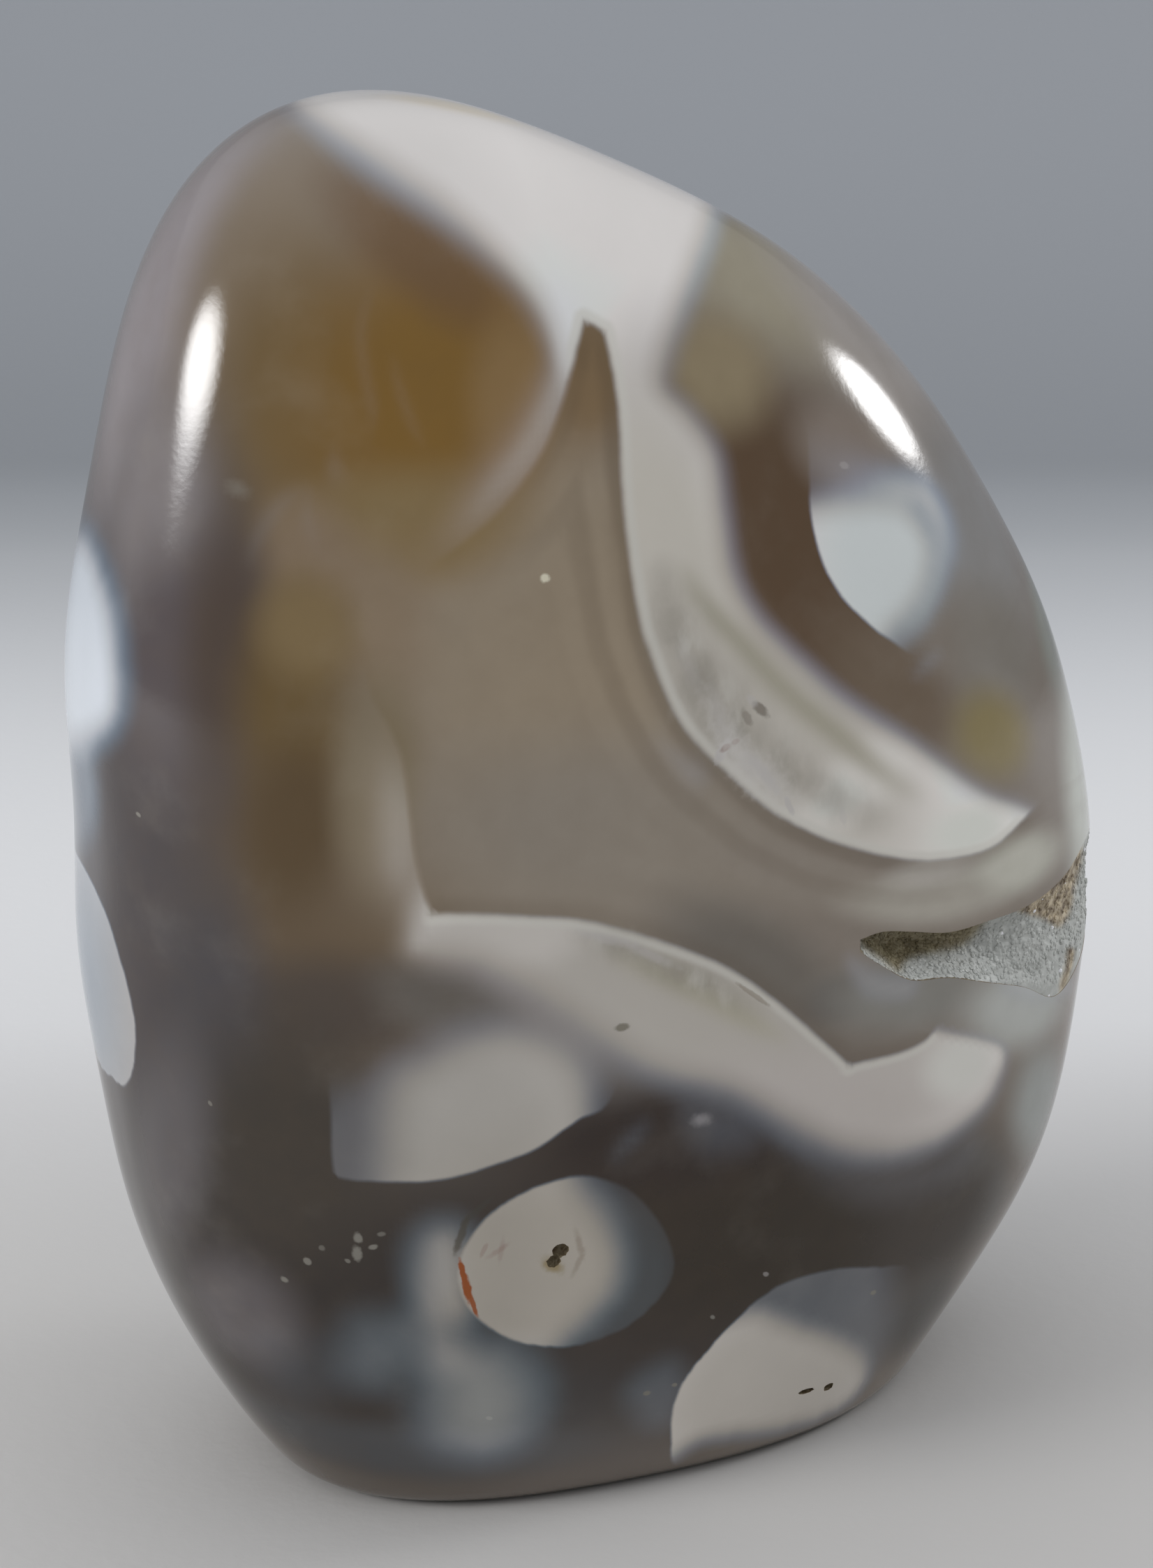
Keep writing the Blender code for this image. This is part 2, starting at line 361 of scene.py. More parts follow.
@dataclass
class StoneMap:
    """The stone's surface unrolled flat in millimetres, from the middle of the photograph's view.

    A place on the map is its distance along the surface and its turn about the line of sight.
    """

    form: StoneForm
    view: PhotoView
    turn_steps: int = 360
    fall_steps: int = 240
    spread: np.ndarray = field(init=False)
    run: np.ndarray = field(init=False)
    edge: np.ndarray = field(init=False)

    def __post_init__(self) -> None:
        """Measure the surface along lines that run from the middle of the front to that of the back."""
        self.middle = np.array(self.form.waist)
        self.away = float(np.linalg.norm(self.view.eye() - self.middle))
        self.axis = unit(self.view.eye() - self.middle)
        self.right = unit(np.cross(UP, self.axis))
        self.up = np.cross(self.axis, self.right)
        turns = np.linspace(-np.pi, np.pi, self.turn_steps + 1)
        falls = np.linspace(0.0, np.pi, self.fall_steps + 1)
        turn, fall = (grid.ravel() for grid in np.meshgrid(turns, falls, indexing="ij"))
        directions = self.heading(turn, fall)
        reach = self.form.reach(self.middle[None, :], directions)
        points = (directions * reach[:, None]).reshape(len(turns), len(falls), 3)
        steps = np.linalg.norm(np.diff(points, axis=1), axis=2)
        self.run = np.concatenate([np.zeros((len(turns), 1)), np.cumsum(steps, axis=1)], axis=1) / MM
        spread = np.arctan2(reach * np.sin(fall), self.away - reach * np.cos(fall))
        self.spread = spread.reshape(self.run.shape)
        self.edge = np.argmax(self.spread, axis=1)
        self.falls = falls

    def heading(self, turn: np.ndarray, fall: np.ndarray) -> np.ndarray:
        """Directions from the stone's middle.

        Args:
            turn: Turn about the line of sight.
            fall: Angle away from the line of sight.

        Returns:
            One direction of length one for each pair.
        """
        across = np.cos(turn)[:, None] * self.right + np.sin(turn)[:, None] * self.up
        return np.cos(fall)[:, None] * self.axis + np.sin(fall)[:, None] * across

    def place(self, points: np.ndarray, side: Side = Side.PHOTO) -> np.ndarray:
        """Find points of the stone on the map.

        Args:
            points: Places on or near the surface.
            side: Whether the map is read from the photograph's side or from behind.

        Returns:
            Places on the map, in millimetres, right and up.
        """
        off = unit(points - self.middle)
        aside, above = off @ self.right, off @ self.up
        turn = np.arctan2(above, aside)
        fall = np.arctan2(np.hypot(aside, above), off @ self.axis)
        row = (turn + np.pi) / (2.0 * np.pi) * self.turn_steps
        column = fall / np.pi * self.fall_steps
        first = np.clip(row.astype(int), 0, self.turn_steps - 1)
        second = np.clip(column.astype(int), 0, self.fall_steps - 1)
        row_part, column_part = row - first, column - second
        low = self.run[first, second] * (1 - column_part) + self.run[first, second + 1] * column_part
        high = self.run[first + 1, second] * (1 - column_part) + self.run[first + 1, second + 1] * column_part
        run = low * (1 - row_part) + high * row_part
        if side is Side.BACK:
            whole = self.run[first, -1] * (1 - row_part) + self.run[first + 1, -1] * row_part
            return np.stack([-np.cos(turn) * (whole - run), np.sin(turn) * (whole - run)], axis=1)
        return np.stack([np.cos(turn) * run, np.sin(turn) * run], axis=1)

    def trace(self, pixels: np.ndarray) -> tuple[np.ndarray, np.ndarray, np.ndarray]:
        """Follow pixels to the surface; those beside the stone run on around its edge.

        Args:
            pixels: Places on the photograph.

        Returns:
            Turn, run along the surface in millimetres, and angle away from the line of sight.
        """
        looks = self.view.looks(pixels)
        aside, above = looks @ self.right, looks @ self.up
        spread = np.arctan2(np.hypot(aside, above), -(looks @ self.axis))
        turn = np.arctan2(above, aside)
        runs, falls = [], []
        for one_turn, one_spread in zip(turn, spread):
            row = int(round((one_turn + np.pi) / (2.0 * np.pi) * self.turn_steps))
            last = self.edge[row]
            seen = self.spread[row, :last + 1]
            beyond = max(one_spread - seen[-1], 0.0) * self.away / MM
            runs.append(np.interp(one_spread, seen, self.run[row, :last + 1]) + beyond)
            falls.append(np.interp(one_spread, seen, self.falls[:last + 1]))
        return turn, np.array(runs), np.array(falls)

    def from_photo(self, pixels: Outline) -> np.ndarray:
        """Places on the map of pixels of the photograph."""
        turn, run, _ = self.trace(np.array(pixels, float))
        return np.stack([np.cos(turn) * run, np.sin(turn) * run], axis=1)

    def surface_at(self, pixels: Outline) -> np.ndarray:
        """Find the stone's surface behind pixels of the photograph.

        Args:
            pixels: Places on the photograph.

        Returns:
            One point of the surface for each pixel.
        """
        turn, _, fall = self.trace(np.array(pixels, float))
        directions = self.heading(turn, fall)
        return self.middle + directions * self.form.reach(self.middle[None, :], directions)[:, None]


def between(corners: tuple[np.ndarray, ...], part: np.ndarray) -> np.ndarray:
    """Run smoothly from the second of four corners to the third.

    Args:
        corners: Four corners that follow one another.
        part: How far along, from 0 to 1.

    Returns:
        Points of the curve.
    """
    a, b, c, d = corners
    return 0.5 * (2 * b + (c - a) * part + (2 * a - 5 * b + 4 * c - d) * part ** 2
                  + (3 * b - a - 3 * c + d) * part ** 3)


def smooth_loop(points: np.ndarray, steps: int = 6, closed: bool = True) -> np.ndarray:
    """Round a polygon into a smooth curve through its points; a doubled point stays a corner.

    Args:
        points: The polygon's points, with as many columns as wanted.
        steps: Pieces that each stretch is cut into.
        closed: Whether the last point joins the first.

    Returns:
        The curve's points.
    """
    if closed:
        ring = np.concatenate([points[-1:], points, points[:2]])
    else:
        ring = np.concatenate([points[:1], points, points[-1:]])
    corners = tuple(item[:, None, :] for item in (ring[:-3], ring[1:-2], ring[2:-1], ring[3:]))
    curve = between(corners, (np.arange(steps) / steps)[None, :, None]).reshape(-1, points.shape[1])
    return curve if closed else np.concatenate([curve, points[-1:]])


def stretch_distances(places: np.ndarray, starts: np.ndarray,
                      ends: np.ndarray) -> tuple[np.ndarray, np.ndarray]:
    """Distance of each place to the nearest of some straight stretches.

    Args:
        places: Places on the map.
        starts: Where the stretches start.
        ends: Where they end.

    Returns:
        The distances, and how far along the row of stretches the nearest point lies.
    """
    distance = np.empty(len(places))
    along = np.empty(len(places))
    way = ends - starts
    least, batch = 1e-12, 4000
    length = np.maximum((way ** 2).sum(axis=1), least)
    for first in range(0, len(places), batch):
        off = places[first:first + batch, None, :] - starts[None, :, :]
        share = np.clip((off * way).sum(axis=2) / length, 0.0, 1.0)
        gap = ((off - share[:, :, None] * way) ** 2).sum(axis=2)
        nearest = gap.argmin(axis=1)
        rows = np.arange(len(nearest))
        distance[first:first + batch] = np.sqrt(gap[rows, nearest])
        along[first:first + batch] = nearest + share[rows, nearest]
    return distance, along


def depth_inside(places: np.ndarray, loop: np.ndarray, margin: float = MARGIN) -> np.ndarray:
    """Signed distance of places to a closed curve.

    Args:
        places: Places on the map.
        loop: The curve's points.
        margin: How far outside it is worth measuring.

    Returns:
        Millimetres, above zero inside, and never below minus the margin.
    """
    result = np.full(len(places), -margin)
    near = ((places > loop.min(axis=0) - margin) & (places < loop.max(axis=0) + margin)).all(axis=1)
    if not near.any():
        return result
    close = places[near]
    starts, ends = loop, np.roll(loop, -1, axis=0)
    distance, _ = stretch_distances(close, starts, ends)
    inside = np.zeros(len(close), bool)
    for (x0, y0), (x1, y1) in zip(starts, ends):
        if y0 == y1:
            continue
        spans = (close[:, 1] < y0) != (close[:, 1] < y1)
        inside ^= spans & (close[:, 0] < x0 + (close[:, 1] - y0) * (x1 - x0) / (y1 - y0))
    result[near] = np.where(inside, distance, -np.minimum(distance, margin))
    return result


@dataclass(frozen=True)
class Cloud:
    """A body of milky chalcedony; a third number at its outline's points is the softness there."""

    outline: Outline
    softness: float = 3.0
    strength: float = 1.0
    side: Side = Side.PHOTO

    def cover(self, sheet: "MarkingSheet") -> np.ndarray:
        """Find how milky each place is.

        Args:
            sheet: The places.

        Returns:
            A share of milk for each place.
        """
        places = sheet.places[self.side]
        curve = smooth_loop(np.array([(*point, self.softness)[:3] for point in self.outline], float))
        loop = sheet.map.from_photo(curve[:, :2]) if self.side is Side.PHOTO else curve[:, :2]
        depth = depth_inside(places, loop)
        near = np.flatnonzero(np.abs(depth) < min(depth.max() + 1.0, curve[:, 2].max()))
        result = np.where(depth > 0.0, self.strength, 0.0)
        _, along = stretch_distances(places[near], loop, np.roll(loop, -1, axis=0))
        softness = np.interp(along, np.arange(len(curve) + 1), np.append(curve[:, 2], curve[0, 2]))
        result[near] = self.strength * ease(depth[near] / softness, -0.5, 0.5)
        return result


@dataclass(frozen=True)
class Streak:
    """A soft line: points each with half a width in millimetres and a strength."""

    line: Ribbon
    side: Side = Side.PHOTO
    colour: Colour = (0.0, 0.0, 0.0)
    steepness: float = 1.2

    def cover(self, sheet: "MarkingSheet") -> np.ndarray:
        """Find how milky, or how coloured, each place is.

        Args:
            sheet: The places.

        Returns:
            A share for each place.
        """
        line = smooth_loop(np.array(self.line, float), steps=5, closed=False)
        spots = sheet.map.from_photo(line[:, :2]) if self.side is Side.PHOTO else line[:, :2]
        places = sheet.places[self.side]
        widest = line[:, 2].max() * 2.0
        near = ((places > spots.min(axis=0) - widest) & (places < spots.max(axis=0) + widest)).all(axis=1)
        result = np.zeros(len(places))
        distance, along = stretch_distances(places[near], spots[:-1], spots[1:])
        width = np.interp(along, np.arange(len(line)), line[:, 2])
        strength = np.interp(along, np.arange(len(line)), line[:, 3])
        result[near] = strength * np.exp(-(distance / width) ** 2 * self.steepness)
        return result


@dataclass(frozen=True)
class Orb:
    """Milk that ends sharply at an edge on some sides and softly on the others."""

    edge: Outline
    clouds: tuple[Cloud, ...]
    side: Side = Side.PHOTO


@dataclass(frozen=True)
class Zone:
    """A patch of ground colour: middle and half sizes on the photograph or map, turn, colour."""

    middle: tuple[float, float]
    half: tuple[float, float]
    turn: float
    colour: Colour
    strength: float = 1.0
    side: Side = Side.PHOTO
    full: float = 0.35
    gone: float = 1.35

    def cover(self, sheet: "MarkingSheet") -> np.ndarray:
        """Find how much of the colour each place takes.

        Args:
            sheet: The places.

        Returns:
            A share of the colour for each place.
        """
        scale = sheet.map.view.scale() if self.side is Side.PHOTO else 1.0
        middle = sheet.map.from_photo((self.middle,))[0] if self.side is Side.PHOTO else np.array(self.middle)
        off = sheet.places[self.side] - middle
        turn = math.radians(self.turn)
        along = off[:, 0] * math.cos(turn) + off[:, 1] * math.sin(turn)
        across = off[:, 1] * math.cos(turn) - off[:, 0] * math.sin(turn)
        span = np.hypot(along * scale / self.half[0], across * scale / self.half[1])
        return self.strength * ease(-span, -self.gone, -self.full)


@dataclass(frozen=True)
class Softbox:
    """A soft light that faces the stone and fades towards its rim.

    Its azimuth is 0 in front of the stone and positive to the right; both angles are in degrees. Its
    brightness is how bright it looks in the polish, and its share the light it sends on a surface that
    faces it, white paper in full light being 1 in both.
    """

    name: str
    azimuth: float
    elevation: float
    size: tuple[float, float]
    brightness: float
    share: float
    distance: float = 0.46
    core: float = 0.16
    rim: float = 0.5

    def way(self) -> tuple[float, float, float]:
        """Direction from the stone to the light."""
        turn, rise = math.radians(self.azimuth), math.radians(self.elevation)
        return (math.sin(turn) * math.cos(rise), -math.cos(turn) * math.cos(rise), math.sin(rise))

    def hang(self, aim: Vector) -> bpy.types.Object:
        """Hang the light.

        Args:
            aim: What it faces.

        Returns:
            The light.
        """
        data = bpy.data.lights.new(self.name, 'AREA')
        data.shape = 'ELLIPSE'
        data.size, data.size_y = self.size
        face = math.pi / 4.0 * self.size[0] * self.size[1]
        data.energy = self.brightness * math.pi * face
        self.soften(data)
        away = Vector(self.way())
        lamp = bpy.data.objects.new(self.name, data)
        lamp.location = aim + away * self.distance
        lamp.rotation_euler = away.to_track_quat('Z', 'Y').to_euler()
        bpy.context.scene.collection.objects.link(lamp)
        return lamp

    def soften(self, data: bpy.types.Light) -> None:
        """Fade the light from its core to its rim.

        Args:
            data: The light's settings.
        """
        data.use_nodes = True
        tree = data.node_tree
        where = tree.nodes.new("ShaderNodeNewGeometry")
        middle = tree.nodes.new("ShaderNodeVectorMath")
        middle.operation = 'DISTANCE'
        middle.inputs[1].default_value = (0.5, 0.5, 0.0)
        fade = tree.nodes.new("ShaderNodeMapRange")
        fade.interpolation_type = 'SMOOTHSTEP'
        for name, value in (("From Min", self.core), ("From Max", self.rim), ("To Min", 1.0), ("To Max", 0.0)):
            fade.inputs[name].default_value = value
        tree.links.new(where.outputs["Parametric"], middle.inputs[0])
        tree.links.new(middle.outputs["Value"], fade.inputs["Value"])
        tree.links.new(fade.outputs["Result"], tree.nodes["Emission"].inputs["Strength"])


SOFTBOXES = (
    Softbox("left_softbox", -91.5, 17.8, (0.275, 0.212), 20.0, 0.830),
    Softbox("right_softbox", 84.0, 19.0, (0.160, 0.122), 26.0, 0.340),
)


@dataclass(frozen=True)
class RoomLight:
    """How much of the studio's light falls on a surface, by the way it faces."""

    level: float = 0.449
    overhead: float = 0.156
    elsewhere: float = 0.75
    turned_away: tuple[float, float] = (-0.25, 0.15)

    def reaching(self, normals: np.ndarray, toward: np.ndarray) -> np.ndarray:
        """Light on surfaces, white paper in full light sending back 1.

        Args:
            normals: The ways they face.
            toward: The way to the camera; what faces away from it takes a plain middle value.

        Returns:
            One number for each surface.
        """
        light = self.level + self.overhead * normals[:, 2]
        for box in SOFTBOXES:
            light = light + box.share * np.maximum(normals @ np.array(box.way()), 0.0)
        seen = ease(normals @ toward, *self.turned_away)
        return self.elsewhere * (1.0 - seen) + light * seen


@dataclass
class MarkingSheet:
    """Places of the stone on the map, on which the markings are read."""

    map: StoneMap
    points: np.ndarray
    places: dict = field(init=False)
    light: np.ndarray = field(init=False)
    palest: float = 0.85

    def __post_init__(self) -> None:
        """Find every point on both maps, and the light that falls on it."""
        self.places = {side: self.map.place(self.points, side) for side in Side}
        self.light = RoomLight().reaching(self.map.form.normals(self.points), self.map.axis)

    def loop(self, outline: Outline, side: Side) -> np.ndarray:
        """Smooth closed curve of an outline, on the map."""
        curve = smooth_loop(np.array(outline, float))
        return self.map.from_photo(curve) if side is Side.PHOTO else curve

    def paint(self, ground: Colour, zones: tuple[Zone | Streak, ...]) -> np.ndarray:
        """Lay zones of colour over a ground colour, one after another.

        Args:
            ground: Look of the places that no zone reaches.
            zones: Coloured zones and streaks, in the order in which they are laid.

        Returns:
            One colour for each place: its look, with the light that falls there taken out.
        """
        colours = np.tile(np.array(ground), (len(self.points), 1))
        for zone in zones:
            share = zone.cover(self)[:, None]
            colours = colours * (1.0 - share) + np.array(zone.colour) * share
        return np.minimum(colours / self.light[:, None], self.palest)


@dataclass(frozen=True)
class FrontMarkings:
    """Everything that the photograph shows on the stone, in its pixels."""

    # The clear brown shard in the middle: white stands around it and ends sharply at its edge.
    shard: Outline = (
        (836, 458), (836, 458), (850, 464), (866, 475), (866, 475), (876, 515), (887, 587), (893, 704), (902, 792),
        (917, 884), (934, 940), (962, 1010), (996, 1061), (1046, 1109), (1103, 1159), (1159, 1190),
        (1200, 1207), (1262, 1224), (1321, 1232), (1380, 1226), (1427, 1210), (1470, 1170), (1530, 1120),
        (1640, 1090), (1640, 1540), (1520, 1440), (1442, 1419), (1405, 1427), (1353, 1458), (1326, 1492),
        (1284, 1511), (1216, 1527), (1216, 1527), (1168, 1484), (1111, 1435), (1040, 1387), (958, 1354),
        (882, 1331), (826, 1319), (744, 1314), (680, 1311), (618, 1311), (618, 1311), (608, 1280),
        (594, 1220), (588, 1165), (583, 1120), (574, 1078), (556, 1040), (530, 990), (520, 900), (560, 850),
        (640, 795), (714, 734), (770, 662), (798, 600), (816, 540), (828, 490),
    )
    cap_and_band: Cloud = Cloud((
        (380, 20, 4.4), (398, 110, 4.4), (418, 146, 4.6), (454, 174, 4.8), (501, 208, 5.0), (580, 264, 5.2),
        (645, 310, 5.0), (707, 366, 4.6), (759, 424, 4.2), (796, 488, 4.0), (832, 560, 4.0), (852, 700, 4.0),
        (846, 800, 4.0), (860, 900, 4.0), (900, 1010, 4.0), (960, 1110, 4.0), (1060, 1200, 4.0),
        (1180, 1260, 4.0), (1330, 1290, 4.0), (1450, 1260, 4.0), (1500, 1190, 3.6), (1468, 1160, 3.4),
        (1405, 1136, 3.4), (1306, 1068, 3.4), (1206, 1004, 3.5), (1136, 942, 3.6), (1080, 884, 3.6),
        (1048, 821, 3.6), (1034, 733, 3.6), (1022, 650, 3.6), (988, 597, 3.6), (950, 556, 3.8),
        (952, 510, 4.2), (974, 440, 4.2), (1008, 350, 4.0), (1024, 285, 4.0), (1042, 200, 3.8),
        (1050, 20, 3.8),
    ))
    low_band: Cloud = Cloud((
        (588, 1356, 4.0), (620, 1370, 5.0), (690, 1384, 5.4), (780, 1430, 5.6), (870, 1494, 5.6),
        (950, 1536, 5.4), (1047, 1562, 5.4), (1121, 1606, 5.8), (1221, 1652, 6.0), (1326, 1640, 5.4),
        (1400, 1592, 4.6), (1432, 1540, 4.0), (1436, 1504, 2.4), (1404, 1490, 1.8), (1356, 1480, 1.8),
        (1310, 1468, 2.4), (1216, 1440, 4.0), (1130, 1380, 5.0), (1047, 1330, 5.0), (931, 1280, 5.0),
        (826, 1265, 5.0), (738, 1260, 5.0), (640, 1262, 5.0), (600, 1300, 4.0),
    ))
    crescents: tuple[Streak, ...] = (
        Streak(((836, 440, 1.6, 0.85), (816, 520, 1.7, 0.54), (786, 592, 2.0, 0.44), (744, 660, 2.1, 0.41),
                (694, 718, 2.0, 0.34), (643, 770, 1.8, 0.16), (590, 806, 1.8, 0.0))),
        Streak(((512, 930, 1.8, 0.0), (538, 1020, 2.2, 0.10), (556, 1090, 2.6, 0.26), (566, 1160, 2.8, 0.40),
                (572, 1230, 2.8, 0.42), (582, 1284, 2.4, 0.30), (594, 1330, 2.0, 0.08))),
    )
    half_moon: Orb = Orb(
        ((1140, 560), (1156, 610), (1160, 689), (1163, 745), (1185, 820), (1230, 880), (1303, 935),
         (1360, 950), (1440, 900), (1470, 700), (1380, 560), (1260, 520)),
        (Cloud(((1120, 738), (1170, 724), (1230, 716), (1290, 724), (1326, 762), (1334, 806), (1320, 856),
                (1290, 896), (1240, 935), (1150, 880), (1100, 800)), softness=4.6, strength=0.93),
         # Pale blue rim of thin milk on the half moon's right side; its strength in the upper part is raised as a
         # painted tail of the right highlight.
         Streak(((1236, 690, 1.6, 0.10), (1290, 700, 1.8, 0.46), (1328, 716, 1.8, 0.58), (1350, 766, 1.7, 0.44),
                 (1346, 826, 1.4, 0.30), (1320, 884, 1.3, 0.24), (1290, 922, 1.2, 0.12))),
         Cloud(((1100, 640), (1190, 640), (1250, 664), (1290, 710), (1300, 760), (1250, 790), (1100, 770)),
               softness=4.0, strength=0.13)),
    )
    blob: Orb = Orb(
        ((468, 1480), (474, 1590), (477, 1674), (492, 1689), (560, 1694), (632, 1690), (700, 1672),
         (764, 1648), (826, 1606), (880, 1566), (900, 1400), (480, 1380)),
        (Cloud(((572, 1560, 6.5), (556, 1660, 6.5), (560, 1760, 6.0), (640, 1780, 6.0), (760, 1730, 4.0),
                (838, 1640, 5.0), (846, 1575, 5.5), (826, 1520, 5.5), (780, 1490, 5.5), (720, 1478, 5.5),
                (660, 1490, 6.0), (606, 1520, 6.5)), strength=0.86),
         Cloud(((440, 1604), (430, 1720), (620, 1750), (700, 1620), (590, 1530), (520, 1556)),
               softness=4.0, strength=0.30)),
    )
    orb: Orb = Orb(
        ((850, 1686), (804, 1690), (756, 1707), (717, 1729), (686, 1757), (662, 1797), (657, 1834),
         (667, 1865), (686, 1890), (717, 1912), (756, 1926), (799, 1930), (842, 1924), (900, 1900),
         (945, 1860), (966, 1815), (950, 1760), (905, 1708)),
        (Cloud(((600, 1760), (700, 1640), (800, 1660), (836, 1708), (864, 1746), (884, 1795), (878, 1840),
                (850, 1878), (815, 1912), (760, 1960), (620, 1940), (580, 1840)), softness=5.4, strength=0.86),
         Cloud(((760, 1680), (860, 1680), (940, 1730), (972, 1815), (944, 1890), (860, 1940), (760, 1900)),
               softness=4.4, strength=0.14)),
    )
    low_orb: Orb = Orb(
        ((972, 2110), (962, 2060), (966, 2012), (986, 1970), (1016, 1934), (1066, 1880), (1119, 1842),
         (1195, 1820), (1263, 1816), (1310, 1826), (1330, 1960), (1260, 2100), (1060, 2170)),
        (Cloud(((900, 2120), (910, 1990), (980, 1916), (1070, 1884), (1130, 1900), (1190, 1920), (1226, 1940),
                (1240, 1968), (1218, 2006), (1160, 2036), (1080, 2052), (1000, 2064)), softness=4.0, strength=0.94),
         Cloud(((1050, 1790, 3.0), (1200, 1760, 3.0), (1262, 1790, 5.0), (1276, 1850, 6.5), (1268, 1910, 6.5),
                (1240, 1960, 6.0), (1150, 1940, 4.0), (1060, 1900, 4.0)), strength=0.28)),
    )
    lens: Orb = Orb(
        ((92, 1190), (105, 1214), (136, 1273), (161, 1337), (184, 1419), (194, 1475), (191, 1531),
         (178, 1556), (162, 1545), (147, 1531), (118, 1480), (40, 1440), (20, 1250)),
        (Cloud(((20, 1170), (140, 1200), (230, 1400), (230, 1540), (170, 1600), (100, 1560), (20, 1500)),
               softness=2.0, strength=0.72),),
    )
    spots: tuple[Cloud, ...] = (
        Cloud(((50, 744), (114, 762), (146, 826), (163, 894), (170, 968), (166, 1024), (140, 1056),
               (100, 1064), (40, 1050)), softness=5.4),
        Cloud(((80, 1040), (124, 1060), (136, 1120), (136, 1180), (112, 1220), (80, 1200)),
              softness=4.6, strength=0.34),
        Cloud(((604, 1772), (646, 1758), (680, 1800), (670, 1880), (626, 1880), (594, 1826)),
              softness=5.0, strength=0.72),
        Cloud(((600, 1850), (640, 1856), (668, 1900), (660, 1960), (620, 1966), (590, 1910)),
              softness=5.0, strength=0.40),
        Cloud(((650, 1945), (720, 1940), (760, 1990), (745, 2050), (690, 2075), (630, 2055), (620, 2000)),
              softness=8.0, strength=0.72),
        Cloud(((510, 1895), (580, 1900), (590, 1950), (540, 1985), (490, 1960)), softness=6.0, strength=0.40),
        Cloud(((380, 1920), (450, 1930), (480, 1990), (430, 2010), (380, 1980)), softness=7.0, strength=0.14),
        Cloud(((600, 1900), (760, 1950), (900, 2000), (940, 2100), (700, 2120), (560, 2060)),
              softness=9.0, strength=0.05),
        Cloud(((900, 1990), (960, 1950), (984, 1990), (960, 2040), (920, 2040)), softness=4.0, strength=0.22),
        Cloud(((700, 1420), (800, 1455), (880, 1520), (900, 1560), (840, 1560), (760, 1500)),
              softness=5.0, strength=0.10),
        Cloud(((985, 1580), (1060, 1590), (1080, 1640), (1020, 1650), (985, 1620)), softness=4.0,
              strength=0.16),
        Cloud(((1120, 1630), (1220, 1676), (1330, 1664), (1400, 1620), (1376, 1690), (1230, 1720)),
              softness=5.0, strength=0.12),
        Cloud(((1216, 1374), (1260, 1396), (1310, 1404), (1300, 1430), (1240, 1424)), softness=2.4,
              strength=0.36),
        Cloud(((1440, 1396), (1520, 1388), (1536, 1420), (1490, 1436), (1440, 1420)), softness=2.4,
              strength=0.34),
    )
    streaks: tuple[Streak, ...] = (
        Streak(((868, 1674, 0.8, 0.0), (905, 1632, 0.9, 0.12), (938, 1598, 0.8, 0.0))),
        Streak(((929, 1050, 0.7, 0.0), (960, 1078, 0.8, 0.13), (1000, 1108, 1.2, 0.20), (1024, 1100, 0.8, 0.0))),
        Streak(((1300, 980, 0.6, 0.0), (1330, 950, 0.8, 0.10), (1356, 928, 0.6, 0.0))),
        Streak(((536, 400, 0.4, 0.0), (517, 470, 0.5, 0.07), (524, 540, 0.6, 0.08), (534, 590, 0.5, 0.07),
                (530, 630, 0.4, 0.0))),
        Streak(((560, 500, 0.4, 0.0), (572, 556, 0.5, 0.07), (592, 610, 0.5, 0.06), (612, 650, 0.4, 0.0))),
        Streak(((352, 820, 0.5, 0.0), (374, 764, 0.7, 0.09), (408, 718, 0.7, 0.10), (450, 694, 0.5, 0.0))),
        Streak(((447, 690, 0.4, 0.0), (440, 740, 0.6, 0.07), (462, 806, 0.5, 0.0))),
        Streak(((462, 668, 1.2, 0.0), (480, 670, 1.3, 0.10), (500, 664, 1.2, 0.0))),
    )
    crystals: tuple[Streak, ...] = (
        Streak(((940, 790, 1.2, 0.0), (956, 860, 1.7, 0.7), (984, 940, 2.4, 1.0), (1024, 1010, 2.8, 1.0),
                (1080, 1070, 2.6, 1.0), (1150, 1120, 2.2, 0.8), (1230, 1160, 1.8, 0.5), (1300, 1185, 1.2, 0.0))),
        Streak(((810, 1335, 0.8, 0.0), (880, 1352, 1.2, 0.8), (950, 1382, 1.3, 0.9), (1040, 1425, 1.3, 0.8),
                (1100, 1462, 0.9, 0.0))),
    )
    banded: tuple[Streak, ...] = (
        Streak(((850, 520, 2.5, 0.8), (850, 700, 4.0, 1.0), (860, 860, 5.5, 1.0), (900, 1010, 6.5, 1.0),
                (1000, 1150, 6.0, 1.0), (1160, 1250, 5.0, 0.8), (1320, 1285, 4.0, 0.6), (1440, 1270, 3.0, 0.0))),
        Streak(((1110, 560, 3.0, 0.5), (1100, 720, 3.5, 0.8), (1150, 880, 3.5, 0.8), (1260, 980, 3.0, 0.5),
                (1380, 1010, 3.0, 0.0))),
    )

